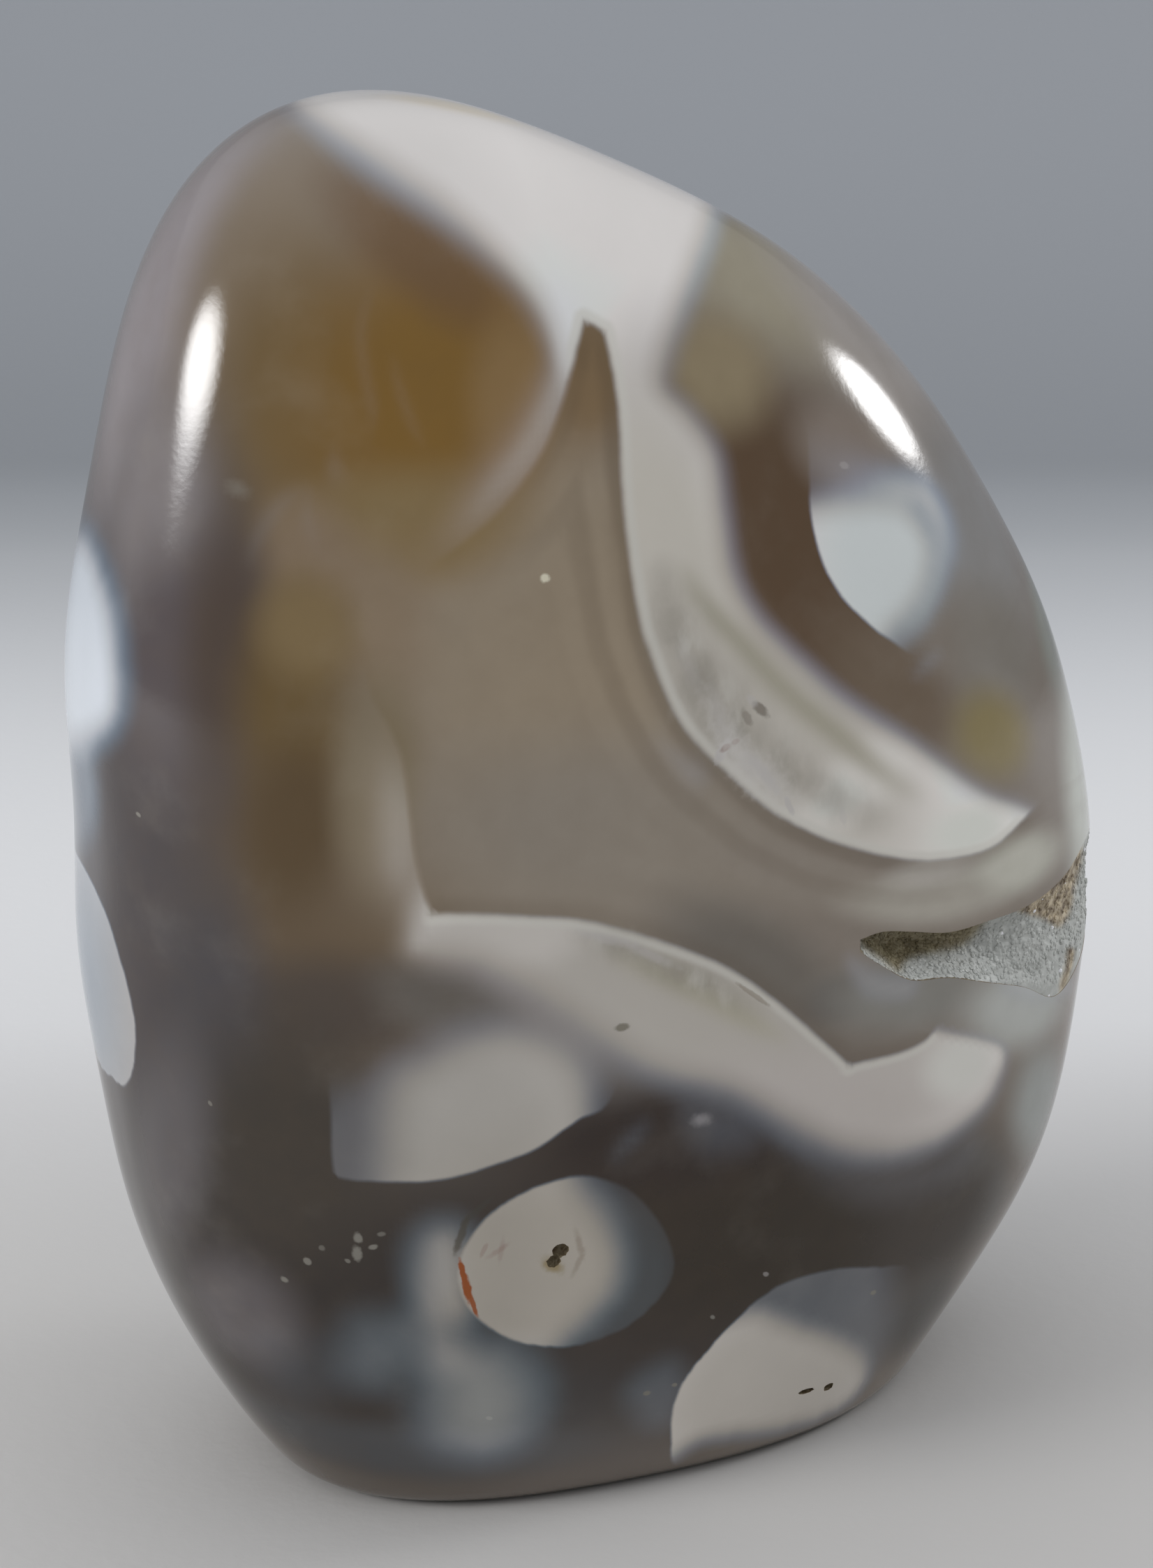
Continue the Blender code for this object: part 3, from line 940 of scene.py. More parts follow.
    def zones(self) -> tuple[Zone | Streak, ...]:
        """Paint the clear ground.

        Returns:
            Its looks, laid one over another.
        """
        return tuple(Zone(middle, half, turn, look(*shade)) for middle, half, turn, shade in (
            ((200, 1300), (330, 900), 0, (74, 70, 72)), ((480, 1250), (190, 330), 0, (92, 79, 64)),
            ((760, 1890), (1000, 400), 0, (51, 48, 47)), ((770, 930), (330, 430), 0, (128, 117, 102)),
            ((900, 1200), (330, 150), -8, (119, 112, 103)), ((1080, 1385), (190, 90), -30, (92, 88, 83)),
            ((1200, 1432), (70, 40), 10, (78, 74, 71)), ((1180, 1262), (200, 50), -15, (117, 110, 102)),
            ((1130, 770), (350, 150), -60, (80, 66, 54)), ((1100, 390), (160, 160), -45, (134, 128, 112)),
            ((1030, 530), (80, 90), 0, (124, 113, 92)), ((1240, 480), (210, 110), -50, (140, 135, 131)),
            ((1400, 760), (190, 120), -62, (121, 120, 119)), ((1430, 930), (110, 110), 0, (112, 108, 102)),
            ((1285, 985), (160, 70), -30, (95, 84, 73)), ((1425, 1052), (95, 75), -20, (117, 107, 78)),
            ((1550, 1120), (90, 270), 8, (162, 164, 157)), ((1455, 1240), (130, 55), 15, (158, 157, 148)),
            ((1330, 1290), (150, 45), 0, (142, 138, 130)), ((1340, 1245), (90, 30), 10, (148, 144, 138)),
            ((1300, 1425), (170, 70), 0, (108, 107, 103)), ((1470, 1440), (150, 90), 0, (148, 150, 147)),
            ((1490, 1580), (90, 130), 20, (128, 131, 129)), ((1400, 1710), (80, 120), 35, (90, 90, 89)),
            ((230, 420), (340, 120), 66, (148, 142, 144)), ((220, 720), (200, 100), 90, (128, 123, 124)),
            ((250, 960), (190, 110), 90, (89, 83, 85)), ((370, 360), (230, 100), 68, (121, 109, 95)),
            ((430, 560), (240, 120), 90, (108, 91, 66)), ((615, 540), (190, 250), -20, (113, 88, 50)),
            ((600, 360), (170, 60), -40, (101, 79, 55)), ((730, 570), (60, 110), 0, (121, 99, 69)),
            ((570, 755), (170, 80), 5, (119, 102, 73)), ((530, 890), (90, 120), 0, (123, 109, 92)),
            ((440, 800), (75, 90), 0, (121, 106, 89)), ((330, 960), (70, 230), 0, (79, 70, 65)),
            ((425, 1010), (85, 160), 0, (97, 81, 56)), ((420, 1180), (80, 120), 0, (82, 68, 50)),
            ((540, 1110), (60, 150), 0, (112, 101, 82)), ((845, 540), (60, 110), 0, (110, 93, 72)),
            ((460, 1450), (200, 80), 0, (73, 66, 61)), ((300, 1460), (90, 200), 0, (71, 69, 72)),
            ((640, 1440), (110, 50), -20, (88, 84, 80)), ((410, 1640), (150, 190), 0, (61, 57, 53)),
            ((240, 1640), (80, 190), -15, (92, 89, 91)), ((340, 1880), (110, 110), 20, (91, 87, 89)),
            ((560, 2080), (300, 60), -5, (68, 69, 71)), ((1030, 1705), (340, 110), 4, (48, 44, 41)),
            ((950, 1630), (260, 90), -6, (44, 40, 37)), ((1150, 1790), (330, 130), 0, (46, 43, 40)),
            ((1350, 1740), (170, 170), -40, (54, 51, 49)), ((1320, 1880), (110, 110), 0, (66, 65, 64)),
            ((1210, 640), (80, 70), 0, (116, 107, 100)), ((440, 900), (70, 80), 0, (116, 100, 74)),
            ((1500, 900), (60, 120), 10, (118, 120, 113)),
        ))

    def milk_tints(self) -> tuple[Zone | Streak, ...]:
        """Paint the densest milk.

        Returns:
            Its looks, laid one over another.
        """
        return (
            Zone((650, 150), (110, 34), -10, look(200, 191, 176), 0.9),
            Zone((950, 600), (90, 160), 0, look(178, 174, 172)),
            Zone((960, 820), (110, 300), 15, look(168, 164, 156)),
            Zone((1130, 1080), (360, 170), -35, look(164, 160, 153)),
            Zone((1225, 1125), (120, 55), 35, look(186, 183, 178)),
            Zone((1390, 1190), (90, 50), 10, look(182, 183, 177)),
            Streak(((975, 800, 0.9, 0.0), (1005, 860, 1.0, 0.8), (1066, 926, 1.2, 1.0), (1126, 990, 1.3, 1.0),
                    (1194, 1048, 1.3, 1.0), (1262, 1106, 1.2, 0.7), (1330, 1152, 1.0, 0.0)),
                   colour=look(140, 136, 124)),
            Zone((1040, 1430), (560, 230), -14, look(147, 143, 137)),
            Zone((1180, 1600), (330, 130), -6, look(152, 147, 143)),
            Zone((720, 1345), (120, 50), 0, look(164, 160, 155)),
            Zone((1378, 1530), (80, 60), 0, look(172, 171, 166)),
            Streak(((860, 1360, 0.8, 0.0), (930, 1385, 1.1, 0.9), (1010, 1424, 1.2, 1.0), (1080, 1465, 1.1, 0.7),
                    (1140, 1500, 0.8, 0.0)), colour=look(140, 136, 122)),
            Zone((640, 1600), (290, 180), 0, look(154, 151, 146)),
            Zone((760, 1820), (240, 220), 0, look(146, 141, 133)),
            Zone((600, 1815), (60, 100), 0, look(152, 150, 147)),
            Zone((1110, 1980), (330, 240), 0, look(150, 146, 140)),
            Zone((700, 2010), (150, 100), 0, look(132, 134, 133)),
            Zone((530, 1940), (90, 60), 0, look(132, 134, 136)),
            Zone((110, 960), (240, 420), 0, look(211, 217, 225)),
            Zone((110, 1400), (240, 240), 0, look(170, 181, 192)),
            Zone((1270, 810), (160, 180), 0, look(184, 189, 189)),
        )

    def haze_tints(self) -> tuple[Zone, ...]:
        """Paint the thin milk.

        Returns:
            Its looks, laid one over another.
        """
        return tuple(Zone(middle, half, turn, look(*shade)) for middle, half, turn, shade in (
            ((980, 300), (140, 200), 0, (172, 190, 210)), ((560, 240), (200, 110), -40, (172, 188, 208)),
            ((1120, 880), (300, 130), -50, (150, 153, 170)), ((1330, 780), (190, 260), 0, (158, 180, 214)),
            ((1000, 1600), (600, 130), -8, (116, 126, 140)), ((760, 1900), (440, 280), 0, (106, 124, 136)),
            ((1150, 1950), (280, 190), 0, (108, 122, 136)), ((130, 980), (260, 420), 0, (134, 166, 194)),
            ((700, 700), (220, 330), 30, (150, 141, 140)), ((570, 1180), (120, 260), 0, (150, 141, 130)),
        ))


@dataclass(frozen=True)
class BackMarkings:
    """Markings that the photograph doesn't show, in millimetres on the map of the back."""

    orbs: tuple[Orb, ...] = (
        Orb(((-24, 36), (-6, 30), (8, 18), (12, 2), (6, -10), (-8, -16), (-24, -12), (-34, 4), (-34, 24)),
            (Cloud(((-30, 40), (-10, 28), (2, 16), (3, 4), (14, -6), (10, -20), (-10, -24), (-14, -12),
                    (-4, -4), (-8, 8), (-22, 18), (-36, 22)), softness=3.2, side=Side.BACK),),
            side=Side.BACK),
        Orb(((16, -22), (26, -18), (31, -28), (28, -39), (18, -43), (8, -38), (8, -28)),
            (Cloud(((10, -24), (22, -14), (36, -20), (34, -40), (24, -44), (12, -40), (12, -30)),
                   softness=3.6, side=Side.BACK),),
            side=Side.BACK),
        Orb(((-22, -28), (-12, -25), (-5, -32), (-8, -42), (-18, -46), (-28, -42), (-29, -33)),
            (Cloud(((-26, -22), (-8, -20), (-2, -34), (-8, -40), (-18, -42), (-24, -36)),
                   softness=4.0, strength=0.9, side=Side.BACK),),
            side=Side.BACK),
    )
    spots: tuple[Cloud, ...] = (
        Cloud(((8, 40), (14, 45), (24, 39), (31, 28), (25, 24), (15, 32)), softness=4.0,
              side=Side.BACK),
        Cloud(((26, 20), (34, 22), (37, 12), (32, 2), (25, 6)), softness=4.5, strength=0.8, side=Side.BACK),
    )
    streaks: tuple[Streak, ...] = (
        Streak(((-2, -46, 1.4, 0.0), (4, -40, 1.6, 0.35), (5, -32, 1.6, 0.4), (10, -24, 1.4, 0.0)),
               side=Side.BACK),
    )
    banded: tuple[Zone, ...] = (
        Zone((0, 0), (60, 60), 0, (0.0, 0.0, 0.0), 0.8, Side.BACK),
    )

    def zones(self) -> tuple[Zone, ...]:
        """Paint the clear ground of the back.

        Returns:
            Its looks, laid one over another.
        """
        return (
            Zone((0, 0), (46, 56), 0, look(86, 76, 62), 1.0, Side.BACK),
            Zone((18, 30), (20, 22), 20, look(113, 88, 50), 0.9, Side.BACK),
            Zone((-18, 22), (16, 24), 0, look(120, 110, 95), 0.9, Side.BACK),
            Zone((-32, -4), (12, 30), 0, look(116, 111, 104), 0.9, Side.BACK),
            Zone((6, -34), (36, 18), 0, look(52, 48, 46), 0.9, Side.BACK),
            Zone((30, -4), (14, 26), 0, look(82, 78, 79), 0.9, Side.BACK),
        )


class Wiring:
    """Places and joins the shader nodes of one material."""

    def __init__(self, name: str) -> None:
        """Make a material with a Principled shader.

        Args:
            name: Name of the material.
        """
        self.material = bpy.data.materials.new(name)
        self.material.use_nodes = True
        self.tree = self.material.node_tree
        self.shader = self.tree.nodes["Principled BSDF"]
        self.coordinates = self.node("ShaderNodeTexCoord").outputs["Object"]

    def node(self, kind: str, **settings: object) -> bpy.types.Node:
        """Add a node and set its properties.

        Args:
            kind: Blender's name for the kind of node.
            **settings: Properties and their values.

        Returns:
            The node.
        """
        made = self.tree.nodes.new(kind)
        for name, value in settings.items():
            setattr(made, name, value)
        return made

    def feed(self, socket: bpy.types.NodeSocket, value: object) -> None:
        """Join a socket to another, or set its value.

        Args:
            socket: The input.
            value: An output socket, a number or a colour.
        """
        if isinstance(value, bpy.types.NodeSocket):
            self.tree.links.new(value, socket)
        elif isinstance(value, tuple) and len(value) == 3 and socket.type == 'RGBA':
            socket.default_value = (*value, 1.0)
        else:
            socket.default_value = value

    def set(self, name: str, value: object) -> None:
        """Feed an input of the Principled shader."""
        self.feed(self.shader.inputs[name], value)

    def attribute(self, name: str, colour: bool = False) -> bpy.types.NodeSocket:
        """Read a value that the mesh carries.

        Args:
            name: Name of the value.
            colour: Whether it is a colour.

        Returns:
            The output that holds it.
        """
        return self.node("ShaderNodeAttribute", attribute_name=name).outputs["Color" if colour else "Fac"]

    def sum(self, operation: str, first: object, second: object = 0.0,
            clamp: bool = False) -> bpy.types.NodeSocket:
        """Do one sum with two values.

        Args:
            operation: Name of the sum.
            first: A number or an output.
            second: A number or an output.
            clamp: Whether the result is kept between 0 and 1.

        Returns:
            The result.
        """
        made = self.node("ShaderNodeMath", operation=operation, use_clamp=clamp)
        self.feed(made.inputs[0], first)
        self.feed(made.inputs[1], second)
        return made.outputs[0]

    def rise(self, value: object, low: float, high: float, top: float = 1.0) -> bpy.types.NodeSocket:
        """Rise smoothly from 0 at low to top at high.

        Args:
            value: A number or an output.
            low: Where the rise starts.
            high: Where the rise ends.
            top: Value at the end.

        Returns:
            The result.
        """
        made = self.node("ShaderNodeMapRange", interpolation_type='SMOOTHSTEP')
        self.feed(made.inputs["Value"], value)
        self.feed(made.inputs["From Min"], low)
        self.feed(made.inputs["From Max"], high)
        self.feed(made.inputs["To Max"], top)
        return made.outputs["Result"]

    def grain(self, size: float, detail: float = 2.0, where: object = None) -> bpy.types.NodeSocket:
        """Soft noise between 0 and 1.

        Args:
            size: Size of its lumps in millimetres.
            detail: Finer layers on top.
            where: Coordinates to read it at, if not the stone's own.

        Returns:
            The noise.
        """
        made = self.node("ShaderNodeTexNoise")
        self.feed(made.inputs["Vector"], where or self.coordinates)
        made.inputs["Scale"].default_value = 1.0 / (size * MM)
        made.inputs["Detail"].default_value = detail
        return made.outputs["Fac"]

    def mix(self, share: object, first: object, second: object, mode: str = 'MIX') -> bpy.types.NodeSocket:
        """Mix two colours.

        Args:
            share: Share of the second.
            first: A colour or an output.
            second: A colour or an output.
            mode: How they mix.

        Returns:
            The mixed colour.
        """
        made = self.node("ShaderNodeMix", data_type='RGBA', blend_type=mode)
        self.feed(made.inputs[0], share)
        self.feed(made.inputs[6], first)
        self.feed(made.inputs[7], second)
        return made.outputs[2]

    def bump(self, height: object, depth: float, strength: float = 1.0) -> None:
        """Raise the surface by a height map.

        Args:
            height: An output.
            depth: Height of a value of 1, in metres.
            strength: Share of the effect.
        """
        made = self.node("ShaderNodeBump")
        made.inputs["Strength"].default_value = strength
        made.inputs["Distance"].default_value = depth
        self.feed(made.inputs["Height"], height)
        self.set("Normal", made.outputs["Normal"])

    def product(self, *values: object) -> bpy.types.NodeSocket:
        """Multiply values, one after another.

        Args:
            *values: Numbers or outputs.

        Returns:
            The result.
        """
        result = values[0]
        for value in values[1:]:
            result = self.sum('MULTIPLY', result, value)
        return result

    def rest(self, value: object) -> bpy.types.NodeSocket:
        """What is left of 1 without a value."""
        return self.sum('SUBTRACT', 1.0, value)

    def wobble(self, size: float, detail: float, height: float) -> bpy.types.NodeSocket:
        """Soft noise around 0.

        Args:
            size: Size of its lumps in millimetres.
            detail: Finer layers on top.
            height: How far it swings, from lowest to highest.

        Returns:
            The noise.
        """
        return self.product(self.sum('SUBTRACT', self.grain(size, detail), 0.5), height)


@dataclass(frozen=True)
class Speck:
    """A small mark in the polish, stretched from one pixel of the photograph to another."""

    start: tuple[float, float]
    end: tuple[float, float]
    half_width: float
    colour: Colour
    strength: float = 1.0
    soft: float = 0.35


@dataclass(frozen=True)
class AgateFinish:
    """Polished agate: milk clouds over smoky ground, with fine bands along their edges."""

    palette: Palette = Palette()
    shard_line: float = 0.38
    orb_line: float = 0.24
    edge_waver: float = 0.14
    speck_waver: float = 1.1
    cloudiness: float = 0.10
    milk_bands: tuple[float, float] = (1.9, 0.30)
    orb_bands: tuple[float, float] = (2.6, 0.16)
    mottle_share: float = 0.07
    veil_share: float = 0.06
    frost_shares: tuple[float, float, float, float] = (0.70, 0.30, 0.24, 0.50)
    rim_share: float = 0.68
    shade_share: float = 0.22
    roughness: float = 0.075
    uneven: float = 0.05
    polish_marks: float = 0.02 * MM
    index: float = 1.54

    def specks(self) -> tuple[Speck, ...]:
        """List the dots, flecks, cracks and stains that the photograph shows.

        Returns:
            The marks, in the order in which they are laid.
        """
        tone = self.palette
        pale, dim = tone.white, stone(112, 110, 104)
        red = stone(120, 92, 84)
        return tuple(Speck(*mark) for mark in (
            ((780, 828), (781, 828), 0.34, stone(205, 200, 180), 0.9),
            ((513, 1770), (514, 1776), 0.32, dim, 0.9), ((510, 1792), (512, 1801), 0.34, dim, 0.9),
            ((533, 1787), (537, 1787), 0.22, dim, 0.9), ((545, 1769), (548, 1770), 0.22, dim, 0.6),
            ((439, 1806), (441, 1809), 0.26, dim, 0.8), ((407, 1833), (409, 1835), 0.22, dim, 0.8),
            ((461, 1787), (462, 1789), 0.20, dim, 0.5), ((497, 1806), (499, 1808), 0.16, dim, 0.7),
            ((1000, 1606), (1010, 1604), 0.42, stone(130, 128, 130), 0.8, 0.8),
            ((1096, 1826), (1099, 1828), 0.18, pale, 0.4), ((1020, 1887), (1022, 1889), 0.16, dim),
            ((925, 1995), (928, 1996), 0.22, dim), ((965, 1982), (967, 1983), 0.18, dim),
            ((1248, 1850), (1251, 1851), 0.22, dim), ((1209, 664), (1212, 668), 0.26, pale, 0.25),
            ((886, 1473), (897, 1471), 0.30, stone(104, 100, 88), 0.8),
            ((1084, 1012), (1096, 1022), 0.36, stone(116, 110, 102), 0.85),
            ((1074, 1000), (1080, 1008), 0.30, pale, 0.45),
            ((1066, 1022), (1074, 1034), 0.30, stone(122, 116, 108), 0.6),
            ((1030, 1086), (1042, 1064), 0.42, pale, 0.95), ((1036, 1074), (1043, 1070), 0.24, red, 0.95),
            ((1052, 1064), (1056, 1062), 0.20, red, 0.9),
            ((1030, 1030), (1062, 1096), 1.0, stone(182, 179, 175), 0.5, 0.9),
            ((1060, 1080), (1118, 1136), 1.1, stone(190, 187, 183), 0.62, 0.9),
            ((1074, 1082), (1112, 1130), 0.40, pale, 0.6, 0.6),
            ((1066, 1090), (1078, 1108), 0.40, pale, 0.30, 0.6), ((1128, 1148), (1134, 1162), 0.26, pale, 0.7),
            ((1206, 1162), (1210, 1178), 0.30, pale, 0.3), ((976, 930), (1000, 985), 0.55, pale, 0.28, 0.8),
            ((1020, 985), (1034, 1040), 0.5, pale, 0.25, 0.8),
            ((838, 1338), (900, 1352), 0.34, pale, 0.55, 0.7),
            ((900, 1354), (958, 1380), 0.34, pale, 0.5, 0.7),
            ((1060, 1412), (1100, 1440), 0.18, stone(116, 104, 90), 0.5),
            ((660, 1806), (664, 1836), 0.22, tone.rust, 1.0, 0.3),
            ((664, 1826), (673, 1862), 0.30, tone.rust, 1.0, 0.3),
            ((672, 1856), (684, 1886), 0.18, tone.rust, 0.95, 0.3),
            ((654, 1790), (668, 1748), 0.30, stone(70, 66, 58), 0.75, 0.5),
            ((668, 1748), (700, 1722), 0.26, stone(62, 62, 58), 0.5, 0.5),
            ((703, 1800), (724, 1784), 0.22, red, 0.30, 0.6), ((690, 1798), (696, 1786), 0.18, red, 0.30),
            ((716, 1806), (720, 1780), 0.20, red, 0.22, 0.6),
            ((826, 1768), (834, 1796), 0.24, stone(128, 116, 104), 0.5, 0.7),
            ((834, 1796), (822, 1822), 0.24, stone(128, 116, 104), 0.45, 0.7),
            ((786, 1812), (796, 1818), 0.55, stone(128, 112, 74), 0.75, 0.6),
            ((700, 2030), (703, 2032), 0.16, pale, 0.3), ((300, 1580), (302, 1582), 0.14, dim, 0.6),
            ((196, 1166), (198, 1168), 0.16, dim, 0.8), ((337, 700), (345, 702), 0.5, dim, 0.35, 0.9),
        ))

    def build(self, stone_map: StoneMap) -> bpy.types.Material:
        """Make the material.

        Args:
            stone_map: The map that finds the specks' places.

        Returns:
            The material.
        """
        wire = Wiring("polished_agate_looks")
        waver = wire.wobble(1.4, 3.0, self.edge_waver)
        shard_depth = wire.sum('ADD', wire.attribute("shard_depth"), waver)
        orb_depth = wire.sum('ADD', wire.attribute("orb_depth"), waver)
        around_shard = wire.rise(shard_depth, -self.shard_line, self.shard_line)
        in_orb = wire.rise(orb_depth, -self.orb_line, self.orb_line)
        shard_milk = wire.attribute("shard_milk")
        orb_milk = wire.attribute("orb_milk")
        clear = wire.product(wire.rest(wire.product(shard_milk, around_shard)),
                             wire.rest(wire.product(orb_milk, in_orb)), wire.rest(wire.attribute("soft_milk")))
        milk = wire.sum('SUBTRACT', 1.0, clear, clamp=True)
        cloudy = wire.product(wire.wobble(6.0, 4.0, self.cloudiness), wire.rise(milk, 0.0, 0.25))
        milk = wire.sum('ADD', milk, cloudy, clamp=True)

        ground = self.ground(wire, shard_depth, orb_depth)
        dense = wire.mix(wire.rise(milk, 0.12, 0.75), wire.attribute("haze_tint", colour=True),
                         wire.attribute("milk_tint", colour=True))
        colour = wire.mix(milk, ground, dense)
        colour = self.frost(wire, colour)
        colour = self.lines(wire, colour, shard_depth, shard_milk, around_shard)
        rough = wire.wobble(0.6, 3.0, self.speck_waver)
        for speck in self.specks():
            colour = self.dot(wire, colour, speck, rough, stone_map)
        wire.set("Base Color", colour)
        uneven = wire.rise(wire.grain(9.0, 3.0), 0.3, 0.7, self.uneven)
        wire.set("Roughness", wire.sum('ADD', uneven, self.roughness))
        wire.set("IOR", self.index)
        wire.bump(wire.grain(0.5, 4.0), self.polish_marks, 0.25)
        return wire.material

    def ground(self, wire: Wiring, shard_depth: object, orb_depth: object) -> bpy.types.NodeSocket:
        """Clear stone with its bands and mottling.

        Args:
            wire: The material's wiring.
            shard_depth: Distance outside the shard.
            orb_depth: Distance inside the orbs.

        Returns:
            The ground colour.
        """
        ground = wire.attribute("ground", colour=True)
        drift = wire.product(wire.grain(16.0, 2.0), 4.0)
        banding = wire.attribute("banding")
        for depth, (pitch, share) in ((shard_depth, self.milk_bands), (orb_depth, self.orb_bands)):
            phase = wire.sum('ADD', wire.product(depth, pitch), drift)
            band = wire.rise(wire.sum('SINE', phase), -0.8, 1.0)
            near = wire.rise(depth, -9.0, -0.4)
            outside = wire.rest(wire.rise(depth, -0.3, 0.1))
            here = wire.product(near, outside, share, banding)
            ground = wire.mix(wire.product(band, here), ground, self.palette.umber)
        mottle = wire.rise(wire.grain(2.6, 6.0), 0.30, 0.75, self.mottle_share)
        ground = wire.mix(mottle, ground, self.palette.umber)
        veil = wire.rise(wire.grain(8.0, 5.0), 0.52, 0.8, self.veil_share)
        return wire.mix(veil, ground, self.palette.cream)

    def frost(self, wire: Wiring, colour: object) -> bpy.types.NodeSocket:
        """Grey crystalline zones inside the milk.

        Args:
            wire: The material's wiring.
            colour: Colour so far.

        Returns:
            The colour with the zones.
        """
        frost = wire.attribute("frost")
        stretched = wire.node("ShaderNodeMapping")
        wire.feed(stretched.inputs["Vector"], wire.coordinates)
        stretched.inputs["Scale"].default_value = (1.0, 1.0, 0.45)
        stretched.inputs["Rotation"].default_value = (0.0, 0.7, 0.0)
        broad = wire.rise(wire.grain(3.6, 4.0), 0.38, 0.66)
        deep = wire.rise(wire.grain(1.5, 5.0, stretched.outputs[0]), 0.36, 0.66)
        gleam = wire.rise(wire.grain(1.9, 5.0, stretched.outputs[0]), 0.52, 0.72)
        tone = self.palette
        shades = (tone.frost, tone.frost_deep, tone.frost_deep, tone.bright)
        layers = zip((1.0, broad, deep, gleam), self.frost_shares, shades)
        for pattern, share, shade in layers:
            colour = wire.mix(wire.product(frost, pattern, share), colour, shade)
        return colour

    def lines(self, wire: Wiring, colour: object, depth: object, milk: object,
              outside: object) -> bpy.types.NodeSocket:
        """The bright rim inside the sharp white edge, and the dark line beside it.

        Args:
            wire: The material's wiring.
            colour: Colour so far.
            depth: Distance outside the shard.
            milk: Milk that stands around the shard.
            outside: Share outside the shard.

        Returns:
            The colour with the lines.
        """
        strong = wire.rise(milk, 0.6, 0.95)
        rim = wire.product(wire.rest(wire.rise(depth, 0.4, 1.0)), outside, strong, self.rim_share)
        colour = wire.mix(rim, colour, self.palette.bright)
        shade = wire.product(wire.rise(depth, -2.2, -0.3), wire.rest(outside), strong, self.shade_share)
        return wire.mix(shade, colour, self.palette.umber)

    def dot(self, wire: Wiring, colour: object, speck: Speck, rough: object,
            stone_map: StoneMap) -> bpy.types.NodeSocket:
        """One small mark, with an uneven edge.

        Args:
            wire: The material's wiring.
            colour: Colour so far.
            speck: The mark.
            rough: Unevenness of its edge.
            stone_map: The map that finds its place.

        Returns:
            The colour with the mark.
        """
        start, end = (Vector(point) for point in stone_map.surface_at((speck.start, speck.end)))
        middle = 0.5 * (start + end)
        along = (end - start).normalized()
        outward = Vector(stone_map.form.normals(np.array([middle]))[0])
        across = outward.cross(along).normalized()
        turned = Matrix((along, across, along.cross(across))).transposed()
        half = speck.half_width * MM
        place = wire.node("ShaderNodeMapping", vector_type='TEXTURE')
        wire.feed(place.inputs["Vector"], wire.coordinates)
        place.inputs["Location"].default_value = middle
        place.inputs["Rotation"].default_value = turned.to_euler()
        place.inputs["Scale"].default_value = (0.5 * (end - start).length + half, half, 2.5 * half)
        length = wire.node("ShaderNodeVectorMath", operation='LENGTH')
        wire.feed(length.inputs[0], place.outputs[0])
        gap = wire.sum('ADD', length.outputs["Value"], rough)
        share = wire.rise(gap, 1.0 - speck.soft, 1.0 + speck.soft, -speck.strength)
        return wire.mix(wire.sum('ADD', share, speck.strength, clamp=True), colour, speck.colour)


